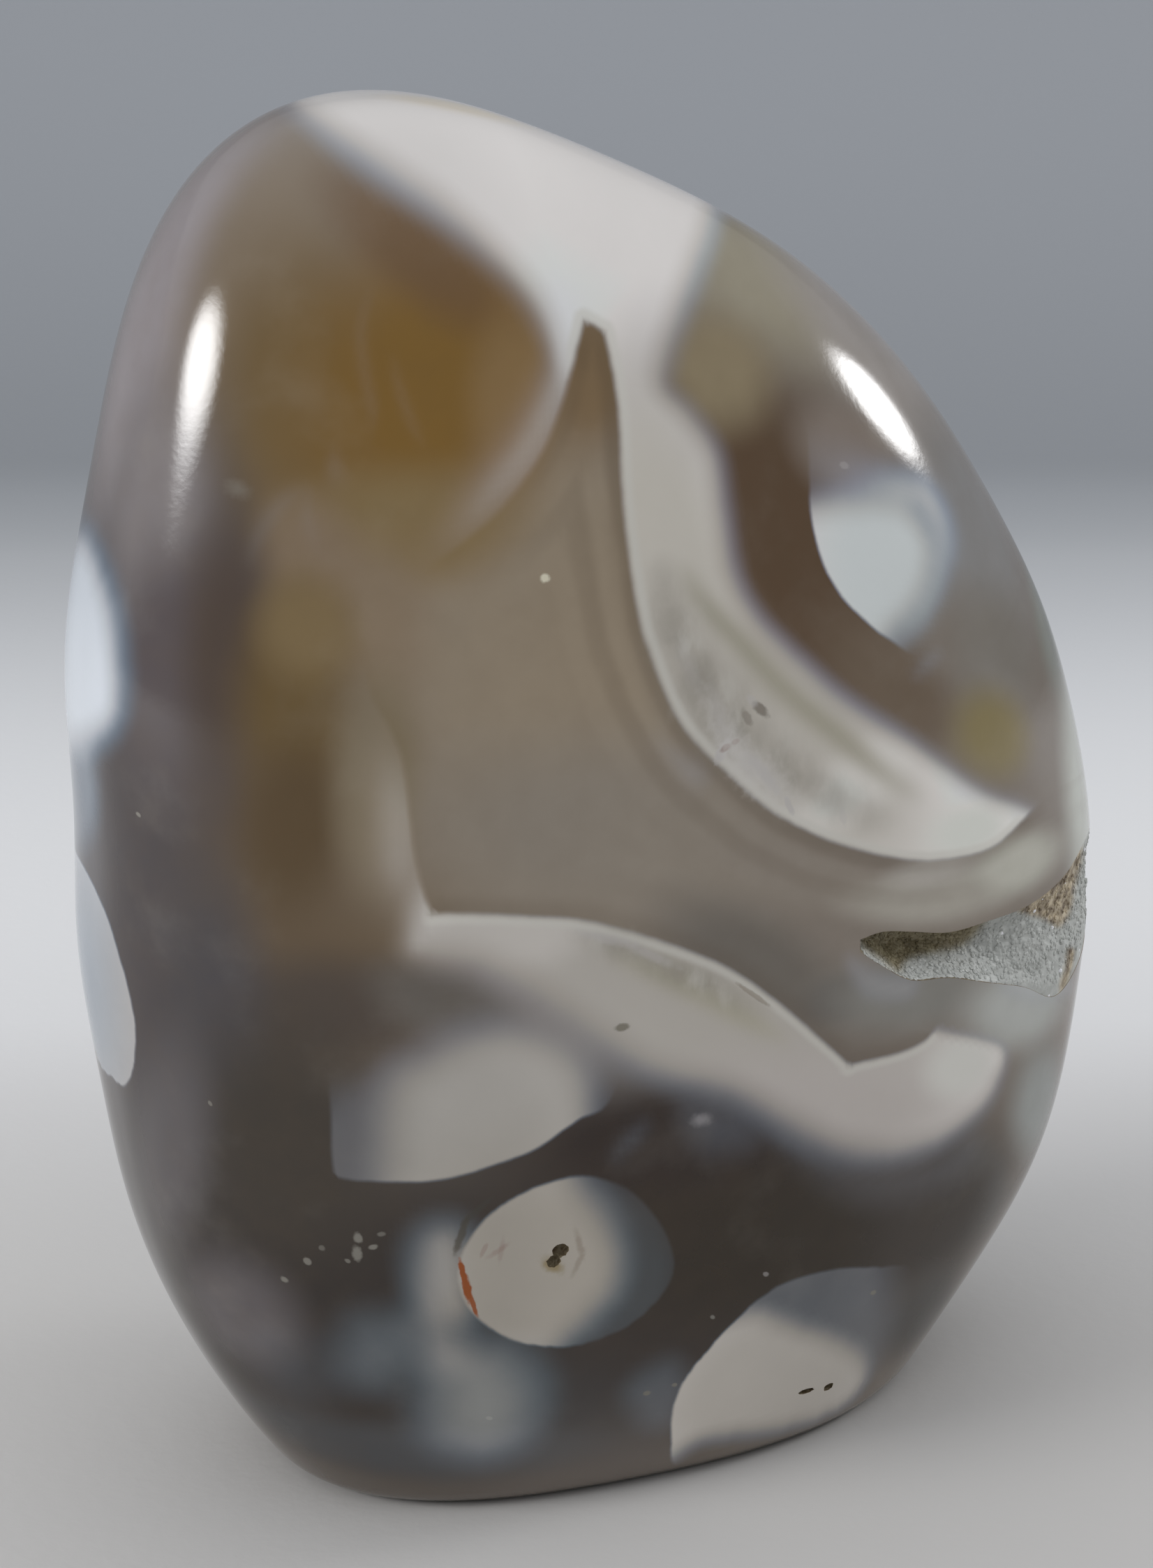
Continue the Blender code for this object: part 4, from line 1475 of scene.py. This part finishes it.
@dataclass
class AgateStone:
    """The stone itself: its fine surface, the hollow and pits cut into it, and its markings."""

    form: StoneForm
    map: StoneMap
    cells: int = 124
    stretch: tuple[float, float, float] = (42.0, 22.0, 55.0)
    orb_reach: tuple[float, float] = (-2.2, -1.4)

    def directions(self) -> tuple[np.ndarray, np.ndarray]:
        """Evenly spread directions, and the squares between them.

        Returns:
            The directions, and four corners for each square.
        """
        count = self.cells
        grid = np.arange(count + 1)
        first, second = (item.ravel() for item in np.meshgrid(grid, grid, indexing="ij"))
        corners, squares = [], []
        square = np.array([[0, count + 1, count + 2, 1]])
        starts = (grid[:-1, None] * (count + 1) + grid[None, :-1]).ravel()[:, None] + square
        for axis in range(3):
            for end in (0, count):
                face = np.zeros((len(first), 3), int)
                face[:, axis] = end
                face[:, (axis + 1) % 3] = first
                face[:, (axis + 2) % 3] = second
                squares.append((starts if end else starts[:, ::-1]) + len(corners) * len(first))
                corners.append(face)
        keys, place = np.unique(np.concatenate(corners), axis=0, return_inverse=True)
        spread = np.tan((keys / count * 2.0 - 1.0) * math.pi / 4.0)
        return unit(unit(spread) * np.array(self.stretch)), place.reshape(-1)[np.concatenate(squares)]

    def build(self, hollow: "Hollow") -> bpy.types.Object:
        """Make the stone.

        Args:
            hollow: The hollow that is cut into it.

        Returns:
            The finished piece.
        """
        directions, squares = self.directions()
        points, _ = self.form.sawn(directions)
        points = np.clip(points, *np.array(CAD_BOX))
        mesh = bpy.data.meshes.new("orca_agate_surface")
        mesh.from_pydata(points.tolist(), [], squares.tolist())
        stone = bpy.data.objects.new("orca_agate", mesh)
        bpy.context.scene.collection.objects.link(stone)
        mesh.materials.append(AgateFinish().build(self.map))
        mesh.materials.append(CavityFinish().build())
        self.cut(stone, hollow.cutters())
        self.mark(stone.data)
        self.smooth(stone.data)
        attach(stone, BODY)
        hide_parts("agate_stone")
        return stone

    def cut(self, stone: bpy.types.Object, cutters: list[bpy.types.Object]) -> None:
        """Cut shapes out of the stone and remove them.

        Args:
            stone: The stone.
            cutters: What is cut out.
        """
        for cutter in cutters:
            taken = stone.modifiers.new(cutter.name, 'BOOLEAN')
            taken.operation = 'DIFFERENCE'
            taken.solver = 'EXACT'
            taken.object = cutter
        shaped = stone.evaluated_get(bpy.context.evaluated_depsgraph_get())
        mesh = bpy.data.meshes.new_from_object(shaped)
        stone.modifiers.clear()
        stone.data = mesh
        for cutter in cutters:
            bpy.data.objects.remove(cutter, do_unlink=True)

    def smooth(self, mesh: bpy.types.Mesh) -> None:
        """Give the polished faces the form's own normals.

        Args:
            mesh: The stone's mesh.
        """
        points = read_points(mesh)
        normals = self.form.normals(points)
        _, base = self.form.sawn(unit(points - np.array(self.form.waist)))
        normals = unit(normals * (1.0 - base[:, None]) - UP * base[:, None])
        mesh.shade_smooth()
        corners = np.zeros(len(mesh.loops), int)
        mesh.loops.foreach_get("vertex_index", corners)
        wanted = normals[corners]
        for face in mesh.polygons:
            if face.material_index == CUT:
                wanted[face.loop_start:face.loop_start + face.loop_total] = face.normal
        mesh.normals_split_custom_set(wanted.tolist())

    def mark(self, mesh: bpy.types.Mesh) -> None:
        """Work out every marking at each point of the mesh and store it there.

        Args:
            mesh: The stone's mesh.
        """
        sheet = MarkingSheet(self.map, read_points(mesh))
        front, back = FrontMarkings(), BackMarkings()
        shard_depth = -depth_inside(sheet.places[Side.PHOTO], sheet.loop(front.shard, Side.PHOTO))
        shard_milk = union([item.cover(sheet) for item in (front.cap_and_band, front.low_band)
                            + front.crescents])
        orbs = (front.half_moon, front.blob, front.orb, front.low_orb, front.lens) + back.orbs
        orb_depth = np.full(len(sheet.points), -MARGIN)
        orb_milk = np.zeros(len(sheet.points))
        for orb in orbs:
            depth = depth_inside(sheet.places[orb.side], sheet.loop(orb.edge, orb.side))
            cover = union([cloud.cover(sheet) for cloud in orb.clouds])
            orb_depth = np.maximum(orb_depth, depth)
            orb_milk = np.maximum(orb_milk, cover * ease(depth, *self.orb_reach))
        loose = front.spots + front.streaks + back.spots + back.streaks
        soft_milk = union([item.cover(sheet) for item in loose])
        tone = Palette()
        store_colour(mesh, "ground", sheet.paint(tone.bare, back.zones() + front.zones()))
        store_colour(mesh, "milk_tint", sheet.paint(tone.white, front.milk_tints()))
        store_colour(mesh, "haze_tint", sheet.paint(tone.haze, front.haze_tints()))
        store_value(mesh, "frost", union([item.cover(sheet) for item in front.crystals]))
        store_value(mesh, "banding", union([item.cover(sheet) for item in front.banded + back.banded]))
        store_value(mesh, "shard_depth", shard_depth)
        store_value(mesh, "shard_milk", shard_milk)
        store_value(mesh, "orb_depth", orb_depth)
        store_value(mesh, "orb_milk", orb_milk)
        store_value(mesh, "soft_milk", soft_milk)


def union(covers: list[np.ndarray]) -> np.ndarray:
    """Join shares of milk so that overlaps grow denser, never past 1.

    Args:
        covers: Shares of milk, each for all the places.

    Returns:
        The joined share for each place.
    """
    clear = np.ones_like(covers[0])
    for cover in covers:
        clear = clear * (1.0 - cover)
    return 1.0 - clear


def read_points(mesh: bpy.types.Mesh) -> np.ndarray:
    """Read the points of a mesh.

    Args:
        mesh: The mesh.

    Returns:
        One row for each point.
    """
    flat = np.zeros(len(mesh.vertices) * 3)
    mesh.vertices.foreach_get("co", flat)
    return flat.reshape(-1, 3)


def store_value(mesh: bpy.types.Mesh, name: str, values: np.ndarray) -> None:
    """Keep one number for each point of a mesh."""
    layer = mesh.attributes.new(name, 'FLOAT', 'POINT')
    layer.data.foreach_set("value", values.astype(np.float32))


def store_colour(mesh: bpy.types.Mesh, name: str, colours: np.ndarray) -> None:
    """Keep one colour for each point of a mesh.

    Args:
        mesh: The mesh.
        name: Name of the value.
        colours: One linear colour for each point.
    """
    layer = mesh.attributes.new(name, 'FLOAT_COLOR', 'POINT')
    whole = np.concatenate([colours, np.ones((len(colours), 1))], axis=1)
    layer.data.foreach_set("color", whole.astype(np.float32).ravel())


@dataclass(frozen=True)
class CavityFinish:
    """Rough dark wall of the hollow and the pits."""

    palette: Palette = Palette()
    roughness: float = 0.45
    uneven: float = 0.2
    grit: float = 0.2 * MM

    def build(self) -> bpy.types.Material:
        """Make the material.

        Returns:
            The material.
        """
        wire = Wiring("hollow_wall_looks")
        colour = wire.mix(wire.rise(wire.grain(0.8, 5.0), 0.3, 0.7), self.palette.umber, self.palette.wall)
        wire.set("Base Color", colour)
        uneven = wire.rise(wire.grain(0.6, 3.0), 0.3, 0.7, self.uneven)
        wire.set("Roughness", wire.sum('ADD', uneven, self.roughness))
        wire.bump(wire.grain(0.4, 5.0), self.grit)
        return wire.material


@dataclass(frozen=True)
class QuartzFinish:
    """Small quartz crystals: grey, olive where they lie deep, brown in the crevice, and a few painted near white as
    glints.
    """

    olive: tuple[Colour, Colour] = (linear(124, 114, 88), linear(156, 146, 118))
    brown: tuple[Colour, Colour] = (linear(98, 82, 62), linear(196, 182, 156))
    grey: tuple[Colour, Colour] = (linear(170, 172, 168), linear(188, 190, 186))
    # A few crystals are painted this near white as glints, a painted highlight.
    painted_glint: Colour = linear(240, 240, 244)
    roughness: float = 0.46
    uneven: float = 0.2
    grit: float = 0.05 * MM
    index: float = 1.54

    def build(self) -> bpy.types.Material:
        """Make the material.

        Returns:
            The material.
        """
        wire = Wiring("druzy_quartz_looks")
        mottle = wire.rise(wire.grain(0.9, 5.0), 0.3, 0.7)
        colour = wire.mix(mottle, *self.grey)
        colour = wire.mix(wire.attribute("deep"), colour, wire.mix(mottle, *self.olive))
        colour = wire.mix(wire.attribute("crevice"), colour, wire.mix(mottle, *self.brown))
        # Painted glints: the marked crystals turn near white.
        colour = wire.mix(wire.attribute("painted_glint"), colour, self.painted_glint)
        wire.set("Base Color", colour)
        uneven = wire.rise(wire.grain(0.7, 2.0), 0.35, 0.65, self.uneven)
        wire.set("Roughness", wire.sum('ADD', uneven, self.roughness))
        wire.set("IOR", self.index)
        wire.bump(wire.grain(0.25, 3.0), self.grit, 0.2)
        return wire.material


@dataclass
class Hollow:
    """The hollow in the right-hand edge, and its crust of quartz crystals."""

    form: StoneForm
    map: StoneMap
    stations: tuple[tuple[float, float, float, float], ...] = (
        (34.0, 45.0, 0.5, 0.7),
        (38.0, 44.3, 1.4, 2.2),
        (43.0, 43.1, 2.0, 3.6),
        (49.0, 42.3, 1.9, 3.8),
        (55.0, 41.5, 2.6, 3.8),
        (61.0, 40.6, 3.5, 4.0),
        (67.0, 39.7, 5.2, 4.2),
        (73.0, 40.9, 5.5, 4.2),
        (80.0, 41.9, 4.5, 3.6),
        (88.0, 42.6, 2.3, 2.2),
        (93.0, 42.8, 0.6, 0.7),
    )
    skew: float = 0.6
    along: int = 90
    across: int = 26
    cut_along: int = 60
    cut_across: int = 14
    proud: float = 3.0 * MM
    filled: tuple[float, float] = (0.18, 0.90)
    filling: tuple[float, float] = (0.28, 0.56)
    below_skin: float = 0.12 * MM
    within: float = 0.04 * MM
    lump_size: float = 1.3 * MM
    lump_height: float = 0.22 * MM
    thickness: float = 0.3 * MM
    crystals: int = 3200
    seed: int = 5
    tilt: float = 0.15
    radius_mm: tuple[float, float] = (0.09, 0.22)
    column: tuple[float, float] = (0.05, 0.4)
    narrowing: float = 0.96
    point: float = 0.28
    off_centre: float = 0.25
    root: float = 0.2 * MM
    # Share of crystals painted near white as glints, and the share of the rows after which they start.
    painted_glint_chance: float = 0.012
    painted_glints_from: float = 0.45
    pit_shapes: tuple[tuple[tuple[float, float], float, float, float], ...] = (
        ((803, 1792), 0.66, 0.60, 0.0), ((793, 1808), 0.56, 0.52, 0.0),
        ((1154, 1991), 0.76, 0.26, 4.0), ((1186, 1985), 0.50, 0.36, 10.0),
    )
    pit_depth: float = 0.8
    pit_lumps: float = 0.22
    dark_floor: Outline = (
        (1226, 1333), (1245, 1322), (1282, 1322), (1320, 1326), (1358, 1322), (1397, 1314), (1416, 1310),
        (1400, 1336), (1376, 1356), (1334, 1366), (1302, 1374), (1286, 1392), (1262, 1374), (1236, 1356),
    )
    crevice: Outline = (
        (1456, 1303), (1480, 1284), (1505, 1262), (1530, 1226), (1546, 1205), (1550, 1230), (1540, 1270),
        (1534, 1304), (1518, 1328), (1492, 1316),
    )
    rusty: Outline = ((1530, 1360), (1540, 1364), (1532, 1400), (1522, 1424), (1518, 1412), (1526, 1386))
    softness: tuple[float, float, float] = (9.0, 6.0, 4.0)
    beside: float = 60.0

    def frames(self, steps: int) -> tuple[np.ndarray, np.ndarray, np.ndarray, np.ndarray]:
        """Places along the hollow's mouth.

        Args:
            steps: How many stretches the mouth is cut into.

        Returns:
            Surface points, outward directions, half openings and depths.
        """
        table = np.array(self.stations)
        travel = np.linspace(0.0, len(table) - 1.0, steps + 1)
        padded = np.concatenate([[2 * table[0] - table[1]], table, [2 * table[-1] - table[-2]]])
        first = np.clip(np.floor(travel).astype(int), 0, len(table) - 2)
        corners = tuple(padded[first + shift] for shift in range(4))
        read = between(corners, (travel - first)[:, None])
        turn = np.radians(read[:, 0])
        ways = np.stack([np.sin(turn), -np.cos(turn), np.zeros_like(turn)], axis=1)
        starts = np.array([[self.form.waist[0], self.form.waist[1], 0.0]]) + read[:, 1:2] * MM * UP
        points = starts + ways * self.form.reach(starts, ways)[:, None]
        outward = self.form.normals(points)
        outward[:, 2] = 0.0
        return points, unit(outward), read[:, 2] * MM, read[:, 3] * MM

    def floor(self, share: np.ndarray) -> np.ndarray:
        """Share of the full depth from the upper lip to the lower lip."""
        return np.sin(np.pi * share ** self.skew)

    def cutters(self) -> list[bpy.types.Object]:
        """Make what is cut out of the stone.

        Returns:
            The hollow's cutter and those of the small pits.
        """
        points, outward, half, depth = self.frames(self.cut_along)
        steps = self.cut_across
        share = np.linspace(0.0, 1.0, steps + 1)
        rings = []
        for point, out, opening, deep in zip(points, outward, half, depth):
            up = np.concatenate([[opening], opening * (1.0 - 2.0 * share), [-opening]])
            off = np.concatenate([[self.proud], -deep * self.floor(share), [self.proud]])
            rings.append(point + out * off[:, None] + UP * up[:, None])
        size = steps + 3
        faces = [(row * size + item, row * size + (item + 1) % size,
                  (row + 1) * size + (item + 1) % size, (row + 1) * size + item)
                 for row in range(len(rings) - 1) for item in range(size)]
        faces += [tuple(range(size))[::-1], tuple((len(rings) - 1) * size + item for item in range(size))]
        return [self.cutter("hollow_cutter", np.concatenate(rings).tolist(), faces)] + self.pits()

    def cutter(self, name: str, points: list, faces: list) -> bpy.types.Object:
        """Make a closed cutting body whose faces take the second material.

        Args:
            name: Name of the body.
            points: Its points.
            faces: Its faces.

        Returns:
            The body.
        """
        mesh = bpy.data.meshes.new(name)
        mesh.from_pydata(points, [], faces)
        shape = bmesh.new()
        shape.from_mesh(mesh)
        bmesh.ops.recalc_face_normals(shape, faces=shape.faces[:])
        for face in shape.faces:
            face.material_index = CUT
        shape.to_mesh(mesh)
        shape.free()
        mesh.materials.append(None)
        mesh.materials.append(None)
        body = bpy.data.objects.new(name, mesh)
        bpy.context.scene.collection.objects.link(body)
        body.hide_render = True
        return body

    def pits(self) -> list[bpy.types.Object]:
        """Small rough holes in the two white orbs.

        Returns:
            One cutter for each pit.
        """
        made = []
        fineness, shift = 2.3, 7.0
        for index, (pixel, wide, tall, turn) in enumerate(self.pit_shapes):
            middle = self.map.surface_at((pixel,))[0]
            outward = Vector(self.form.normals(middle[None, :])[0])
            shape = bmesh.new()
            bmesh.ops.create_icosphere(shape, subdivisions=3, radius=1.0)
            basis = Vector((0, 0, 1)).rotation_difference(outward).to_matrix() @ Matrix.Rotation(
                math.radians(turn), 3, 'Z')
            for vert in shape.verts:
                lumps = noise.noise(vert.co * fineness + Vector((index * shift, 0.0, 0.0)))
                wobble = 1.0 + self.pit_lumps * lumps
                local = Vector((vert.co.x * wide, vert.co.y * tall, vert.co.z * self.pit_depth)) * wobble * MM
                vert.co = Vector(middle) + basis @ local
            mesh = bpy.data.meshes.new("pit_shape")
            shape.to_mesh(mesh)
            shape.free()
            made.append(self.cutter(f"pit_{index}", [vert.co[:] for vert in mesh.vertices],
                                    [tuple(face.vertices) for face in mesh.polygons]))
        return made

    def build(self) -> bpy.types.Object:
        """Make the crust: a lumpy shell on the hollow's floor, thick with small crystals.

        Returns:
            The finished piece.
        """
        points, outward, half, depth = self.frames(self.along)
        share = np.linspace(0.0, 1.0, self.across + 1)
        rows = np.arange(self.along + 1) / self.along
        least, most = self.filled
        fill = least + (most - least) * ease(rows, *self.filling)
        rings = []
        for point, out, opening, deep, full in zip(points, outward, half, depth, fill):
            off = -deep * self.floor(share) * (1.0 - full) - self.below_skin * np.sin(np.pi * share)
            ring = point + out * off[:, None] + UP * (opening * (1.0 - 2.0 * share))[:, None]
            lumps = np.array([noise.fractal(Vector(spot) / self.lump_size, 0.8, 2.0, 4) for spot in ring])
            rings.append(ring + out * (lumps * self.lump_height * np.sin(np.pi * share))[:, None])
        grid = np.array(rings)
        size = self.across + 1
        shape = bmesh.new()
        made = [shape.verts.new(spot) for spot in grid.reshape(-1, 3)]
        for row in range(self.along):
            for item in range(self.across):
                first = row * size + item
                shape.faces.new((made[first], made[first + 1], made[first + size + 1], made[first + size]))
        self.thicken(shape, outward)
        painted_glints = self.grow(shape, grid, outward)
        mesh = bpy.data.meshes.new("druzy_quartz")
        shape.to_mesh(mesh)
        shape.free()
        self.colour(mesh, painted_glints)
        mesh.materials.append(QuartzFinish().build())
        crust = bpy.data.objects.new("druzy_quartz", mesh)
        bpy.context.scene.collection.objects.link(crust)
        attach(crust, BODY)
        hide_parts("druzy_crust")
        return crust

    def colour(self, mesh: bpy.types.Mesh, painted_glints: set[int]) -> None:
        """Keep the crust inside the stone's form, and note where it is dark, brown or painted near white as a
        glint.

        Args:
            mesh: The crust's mesh.
            painted_glints: Points of the crystals painted near white as glints.
        """
        points = read_points(mesh)
        starts = np.stack([np.full(len(points), self.form.waist[0]), np.full(len(points), self.form.waist[1]),
                           points[:, 2]], axis=1)
        away = points - starts
        length = np.linalg.norm(away, axis=1)
        ways = away / length[:, None]
        allowed = np.minimum(length, self.form.reach(starts, ways) - self.within)
        points = np.clip(starts + ways * allowed[:, None], *np.array(CAD_BOX))
        mesh.vertices.foreach_set("co", points.ravel())
        mesh.update()
        seen = self.map.view.pixels(points)
        outlines = (self.dark_floor, self.crevice, self.rusty)
        deep, crevice, rusty = (
            ease(depth_inside(seen, smooth_loop(np.array(outline, float)), self.beside), -soft, soft)
            for outline, soft in zip(outlines, self.softness))
        store_value(mesh, "deep", deep)
        store_value(mesh, "crevice", np.maximum(crevice, rusty))
        # Painted glints: a few crystals are marked to be coloured near white.
        bright = np.zeros(len(points))
        bright[list(painted_glints)] = 1.0
        store_value(mesh, "painted_glint", bright)

    def thicken(self, shape: bmesh.types.BMesh, outward: np.ndarray) -> None:
        """Close the sheet with a back just behind it.

        Args:
            shape: The crust's shape so far.
            outward: Outward direction of each row.
        """
        rim = [edge for edge in shape.edges if edge.is_boundary]
        front = shape.verts[:]
        size = self.across + 1
        grown = bmesh.ops.duplicate(shape, geom=shape.faces[:])
        pairs = grown["vert_map"]
        for index, vert in enumerate(front):
            pairs[vert].co = vert.co - Vector(outward[index // size]) * self.thickness
        for edge in rim:
            first, second = edge.verts
            shape.faces.new((first, second, pairs[second], pairs[first]))
        bmesh.ops.recalc_face_normals(shape, faces=shape.faces[:])

    def grow(self, shape: bmesh.types.BMesh, grid: np.ndarray, outward: np.ndarray) -> set[int]:
        """Plant six-sided crystals over the sheet.

        Args:
            shape: The crust's shape so far.
            grid: The sheet's points, row by row.
            outward: Outward direction of each row.

        Returns:
            Points of the crystals painted near white as glints.
        """
        chance = random.Random(self.seed)
        rows, columns = grid.shape[:2]
        painted_glints = set()
        for _ in range(self.crystals):
            row = chance.randrange(2, rows - 2)
            column = chance.randrange(1, columns - 1)
            slope = np.cross(grid[row + 1, column] - grid[row - 1, column],
                             grid[row, column + 1] - grid[row, column - 1])
            slope = unit(slope + 1e-15)
            if slope @ outward[row] < 0:
                slope = -slope
            tilt = np.array([chance.gauss(0, self.tilt) for _ in range(3)])
            wide = chance.uniform(*self.radius_mm) * MM
            tall = wide * chance.uniform(*self.column)
            share = np.array([chance.random(), chance.random()])
            foot = (grid[row, column] * (1 - share[0]) + grid[row + 1, column] * share[0]
                    + (grid[row, column + 1] - grid[row, column]) * (share[1] - 0.5))
            before = len(shape.verts)
            self.crystal(shape, Vector(foot), Vector(unit(slope + tilt)), wide, tall, chance)
            # A few crystals past the first rows are painted near white as glints.
            if chance.random() < self.painted_glint_chance and row > self.painted_glints_from * rows:
                painted_glints.update(range(before, len(shape.verts)))
        return painted_glints

    def crystal(self, shape: bmesh.types.BMesh, foot: Vector, axis: Vector, wide: float, tall: float,
                chance: random.Random) -> None:
        """One quartz point: a short six-sided column with a pyramid on it.

        Args:
            shape: The crust's shape so far.
            foot: Middle of its foot.
            axis: The way it points.
            wide: Its radius.
            tall: Height of its column.
            chance: Source of its small differences.
        """
        side = axis.orthogonal().normalized()
        other = axis.cross(side)
        start = chance.uniform(0.0, math.pi)
        low, high = [], []
        for corner in range(6):
            turn = start + corner * math.pi / 3.0
            away = (side * math.cos(turn) + other * math.sin(turn)) * wide
            low.append(shape.verts.new(foot + away - axis * self.root))
            high.append(shape.verts.new(foot + away * self.narrowing + axis * tall))
        lean = side * wide * chance.uniform(-self.off_centre, self.off_centre)
        tip = shape.verts.new(foot + axis * (tall + wide * self.point) + lean)
        for corner in range(6):
            after = (corner + 1) % 6
            shape.faces.new((low[corner], low[after], high[after], high[corner]))
            shape.faces.new((high[corner], high[after], tip))
        shape.faces.new(low[::-1])


@dataclass(frozen=True)
class Studio:
    """A pale floor that sweeps up into a grey backdrop, and soft lights."""

    view: PhotoView
    width: float = 4.0
    front: float = -1.2
    bend: float = 0.30
    radius: float = 0.35
    # Places along the floor, in metres behind the stone, and the cloth's shade there, which paints in the falloff
    # of the studio light: brightest a little behind the stone, darkest at the bend; its two ends come first.
    shades: tuple[tuple[float, tuple[int, int, int]], ...] = (
        (0.0, (184, 182, 180)),
        (0.60, (160, 163, 168)),
        (0.03, (186, 185, 184)),
        (0.054, (194, 193, 193)),
        (0.074, (207, 207, 208)),
        (0.12, (213, 213, 214)),
        (0.178, (202, 203, 205)),
        (0.241, (162, 164, 167)),
        (0.275, (146, 149, 153)),
        (0.30, (130, 133, 137)),
        (0.45, (157, 160, 165)),
    )
    level: float = 0.34
    overhead: float = 1.15
    level_below: float = 0.30
    tint: tuple[float, float, float, float] = (0.95, 0.97, 1.0, 1.0)
    bend_steps: int = 24
    cloth_roughness: float = 0.9
    cloth_sheen: float = 0.2
    weave: float = 0.15 * MM

    def build(self) -> None:
        """Make the floor, the lights and the room's own soft light."""
        self.floor()
        for box in SOFTBOXES:
            box.hang(Vector(self.view.aim))
        self.room()
        bpy.context.scene.view_settings.view_transform = 'Standard'

    def room(self) -> None:
        """Soft light from the room: dim level with the stone, bright overhead."""
        world = bpy.data.worlds.new("studio_room")
        world.use_nodes = True
        tree = world.node_tree
        where = tree.nodes.new("ShaderNodeTexCoord")
        parts = tree.nodes.new("ShaderNodeSeparateXYZ")
        rise = tree.nodes.new("ShaderNodeMapRange")
        rise.interpolation_type = 'SMOOTHSTEP'
        for name, value in (("From Min", self.level_below), ("From Max", 1.0),
                            ("To Min", self.level), ("To Max", self.overhead)):
            rise.inputs[name].default_value = value
        tree.links.new(where.outputs["Generated"], parts.inputs[0])
        tree.links.new(parts.outputs[2], rise.inputs["Value"])
        background = tree.nodes["Background"]
        background.inputs["Color"].default_value = self.tint
        tree.links.new(rise.outputs["Result"], background.inputs["Strength"])
        bpy.context.scene.world = world

    def floor(self) -> None:
        """Make the sweep."""
        profile = [(self.front, 0.0), (0.0, 0.0), (self.bend, 0.0)]
        for step in range(1, self.bend_steps + 1):
            turn = 0.5 * math.pi * step / self.bend_steps
            profile.append((self.bend + self.radius * math.sin(turn), self.radius * (1.0 - math.cos(turn))))
        turn = Matrix.Rotation(self.view.azimuth, 4, 'Z')
        verts = [turn @ Vector((side * self.width / 2, away, up)) for away, up in profile for side in (-1, 1)]
        faces = [(row * 2, row * 2 + 1, row * 2 + 3, row * 2 + 2) for row in range(len(profile) - 1)]
        mesh = bpy.data.meshes.new("studio_sweep")
        mesh.from_pydata([vert[:] for vert in verts], [], faces)
        mesh.shade_smooth()
        mesh.materials.append(self.cloth())
        sweep = bpy.data.objects.new("studio_sweep", mesh)
        bpy.context.scene.collection.objects.link(sweep)

    def cloth(self) -> bpy.types.Material:
        """Make pale cloth, greyer on the backdrop, with the falloff of the light painted into its colour.

        Returns:
            The material.
        """
        wire = Wiring("studio_cloth")
        parts = wire.node("ShaderNodeSeparateXYZ")
        wire.feed(parts.inputs[0], wire.coordinates)
        turn = self.view.azimuth
        away = wire.sum('ADD', wire.product(parts.outputs[0], -math.sin(turn)),
                        wire.product(parts.outputs[1], math.cos(turn)))
        # Painted light: the colour follows the distance behind the stone, as the studio light falls off.
        cloth = wire.node("ShaderNodeValToRGB")
        wire.feed(cloth.inputs["Fac"], away)
        ramp = cloth.color_ramp
        ramp.interpolation = 'B_SPLINE'
        for index, (place, shade) in enumerate(self.shades):
            stop = ramp.elements[index] if index < 2 else ramp.elements.new(place)
            stop.position = place
            stop.color = (*linear(*shade), 1.0)
        wire.set("Base Color", cloth.outputs["Color"])
        wire.set("Roughness", self.cloth_roughness)
        wire.set("Specular IOR Level", self.cloth_sheen)
        wire.bump(wire.grain(1.5, 4.0), self.weave, 0.3)
        return wire.material


def main() -> None:
    """Make the camera, the stone, its quartz and the studio, in that order."""
    logging.basicConfig(level=logging.INFO, format="%(name)s %(message)s")
    view = PhotoView()
    view.build()
    form = StoneForm()
    stone_map = StoneMap(form, view)
    hollow = Hollow(form, stone_map)
    for piece in (AgateStone(form, stone_map).build(hollow), hollow.build()):
        LOG.info("%s: %d faces", piece.name, len(piece.data.polygons))
    Studio(view).build()


if __name__ == "__main__":
    main()
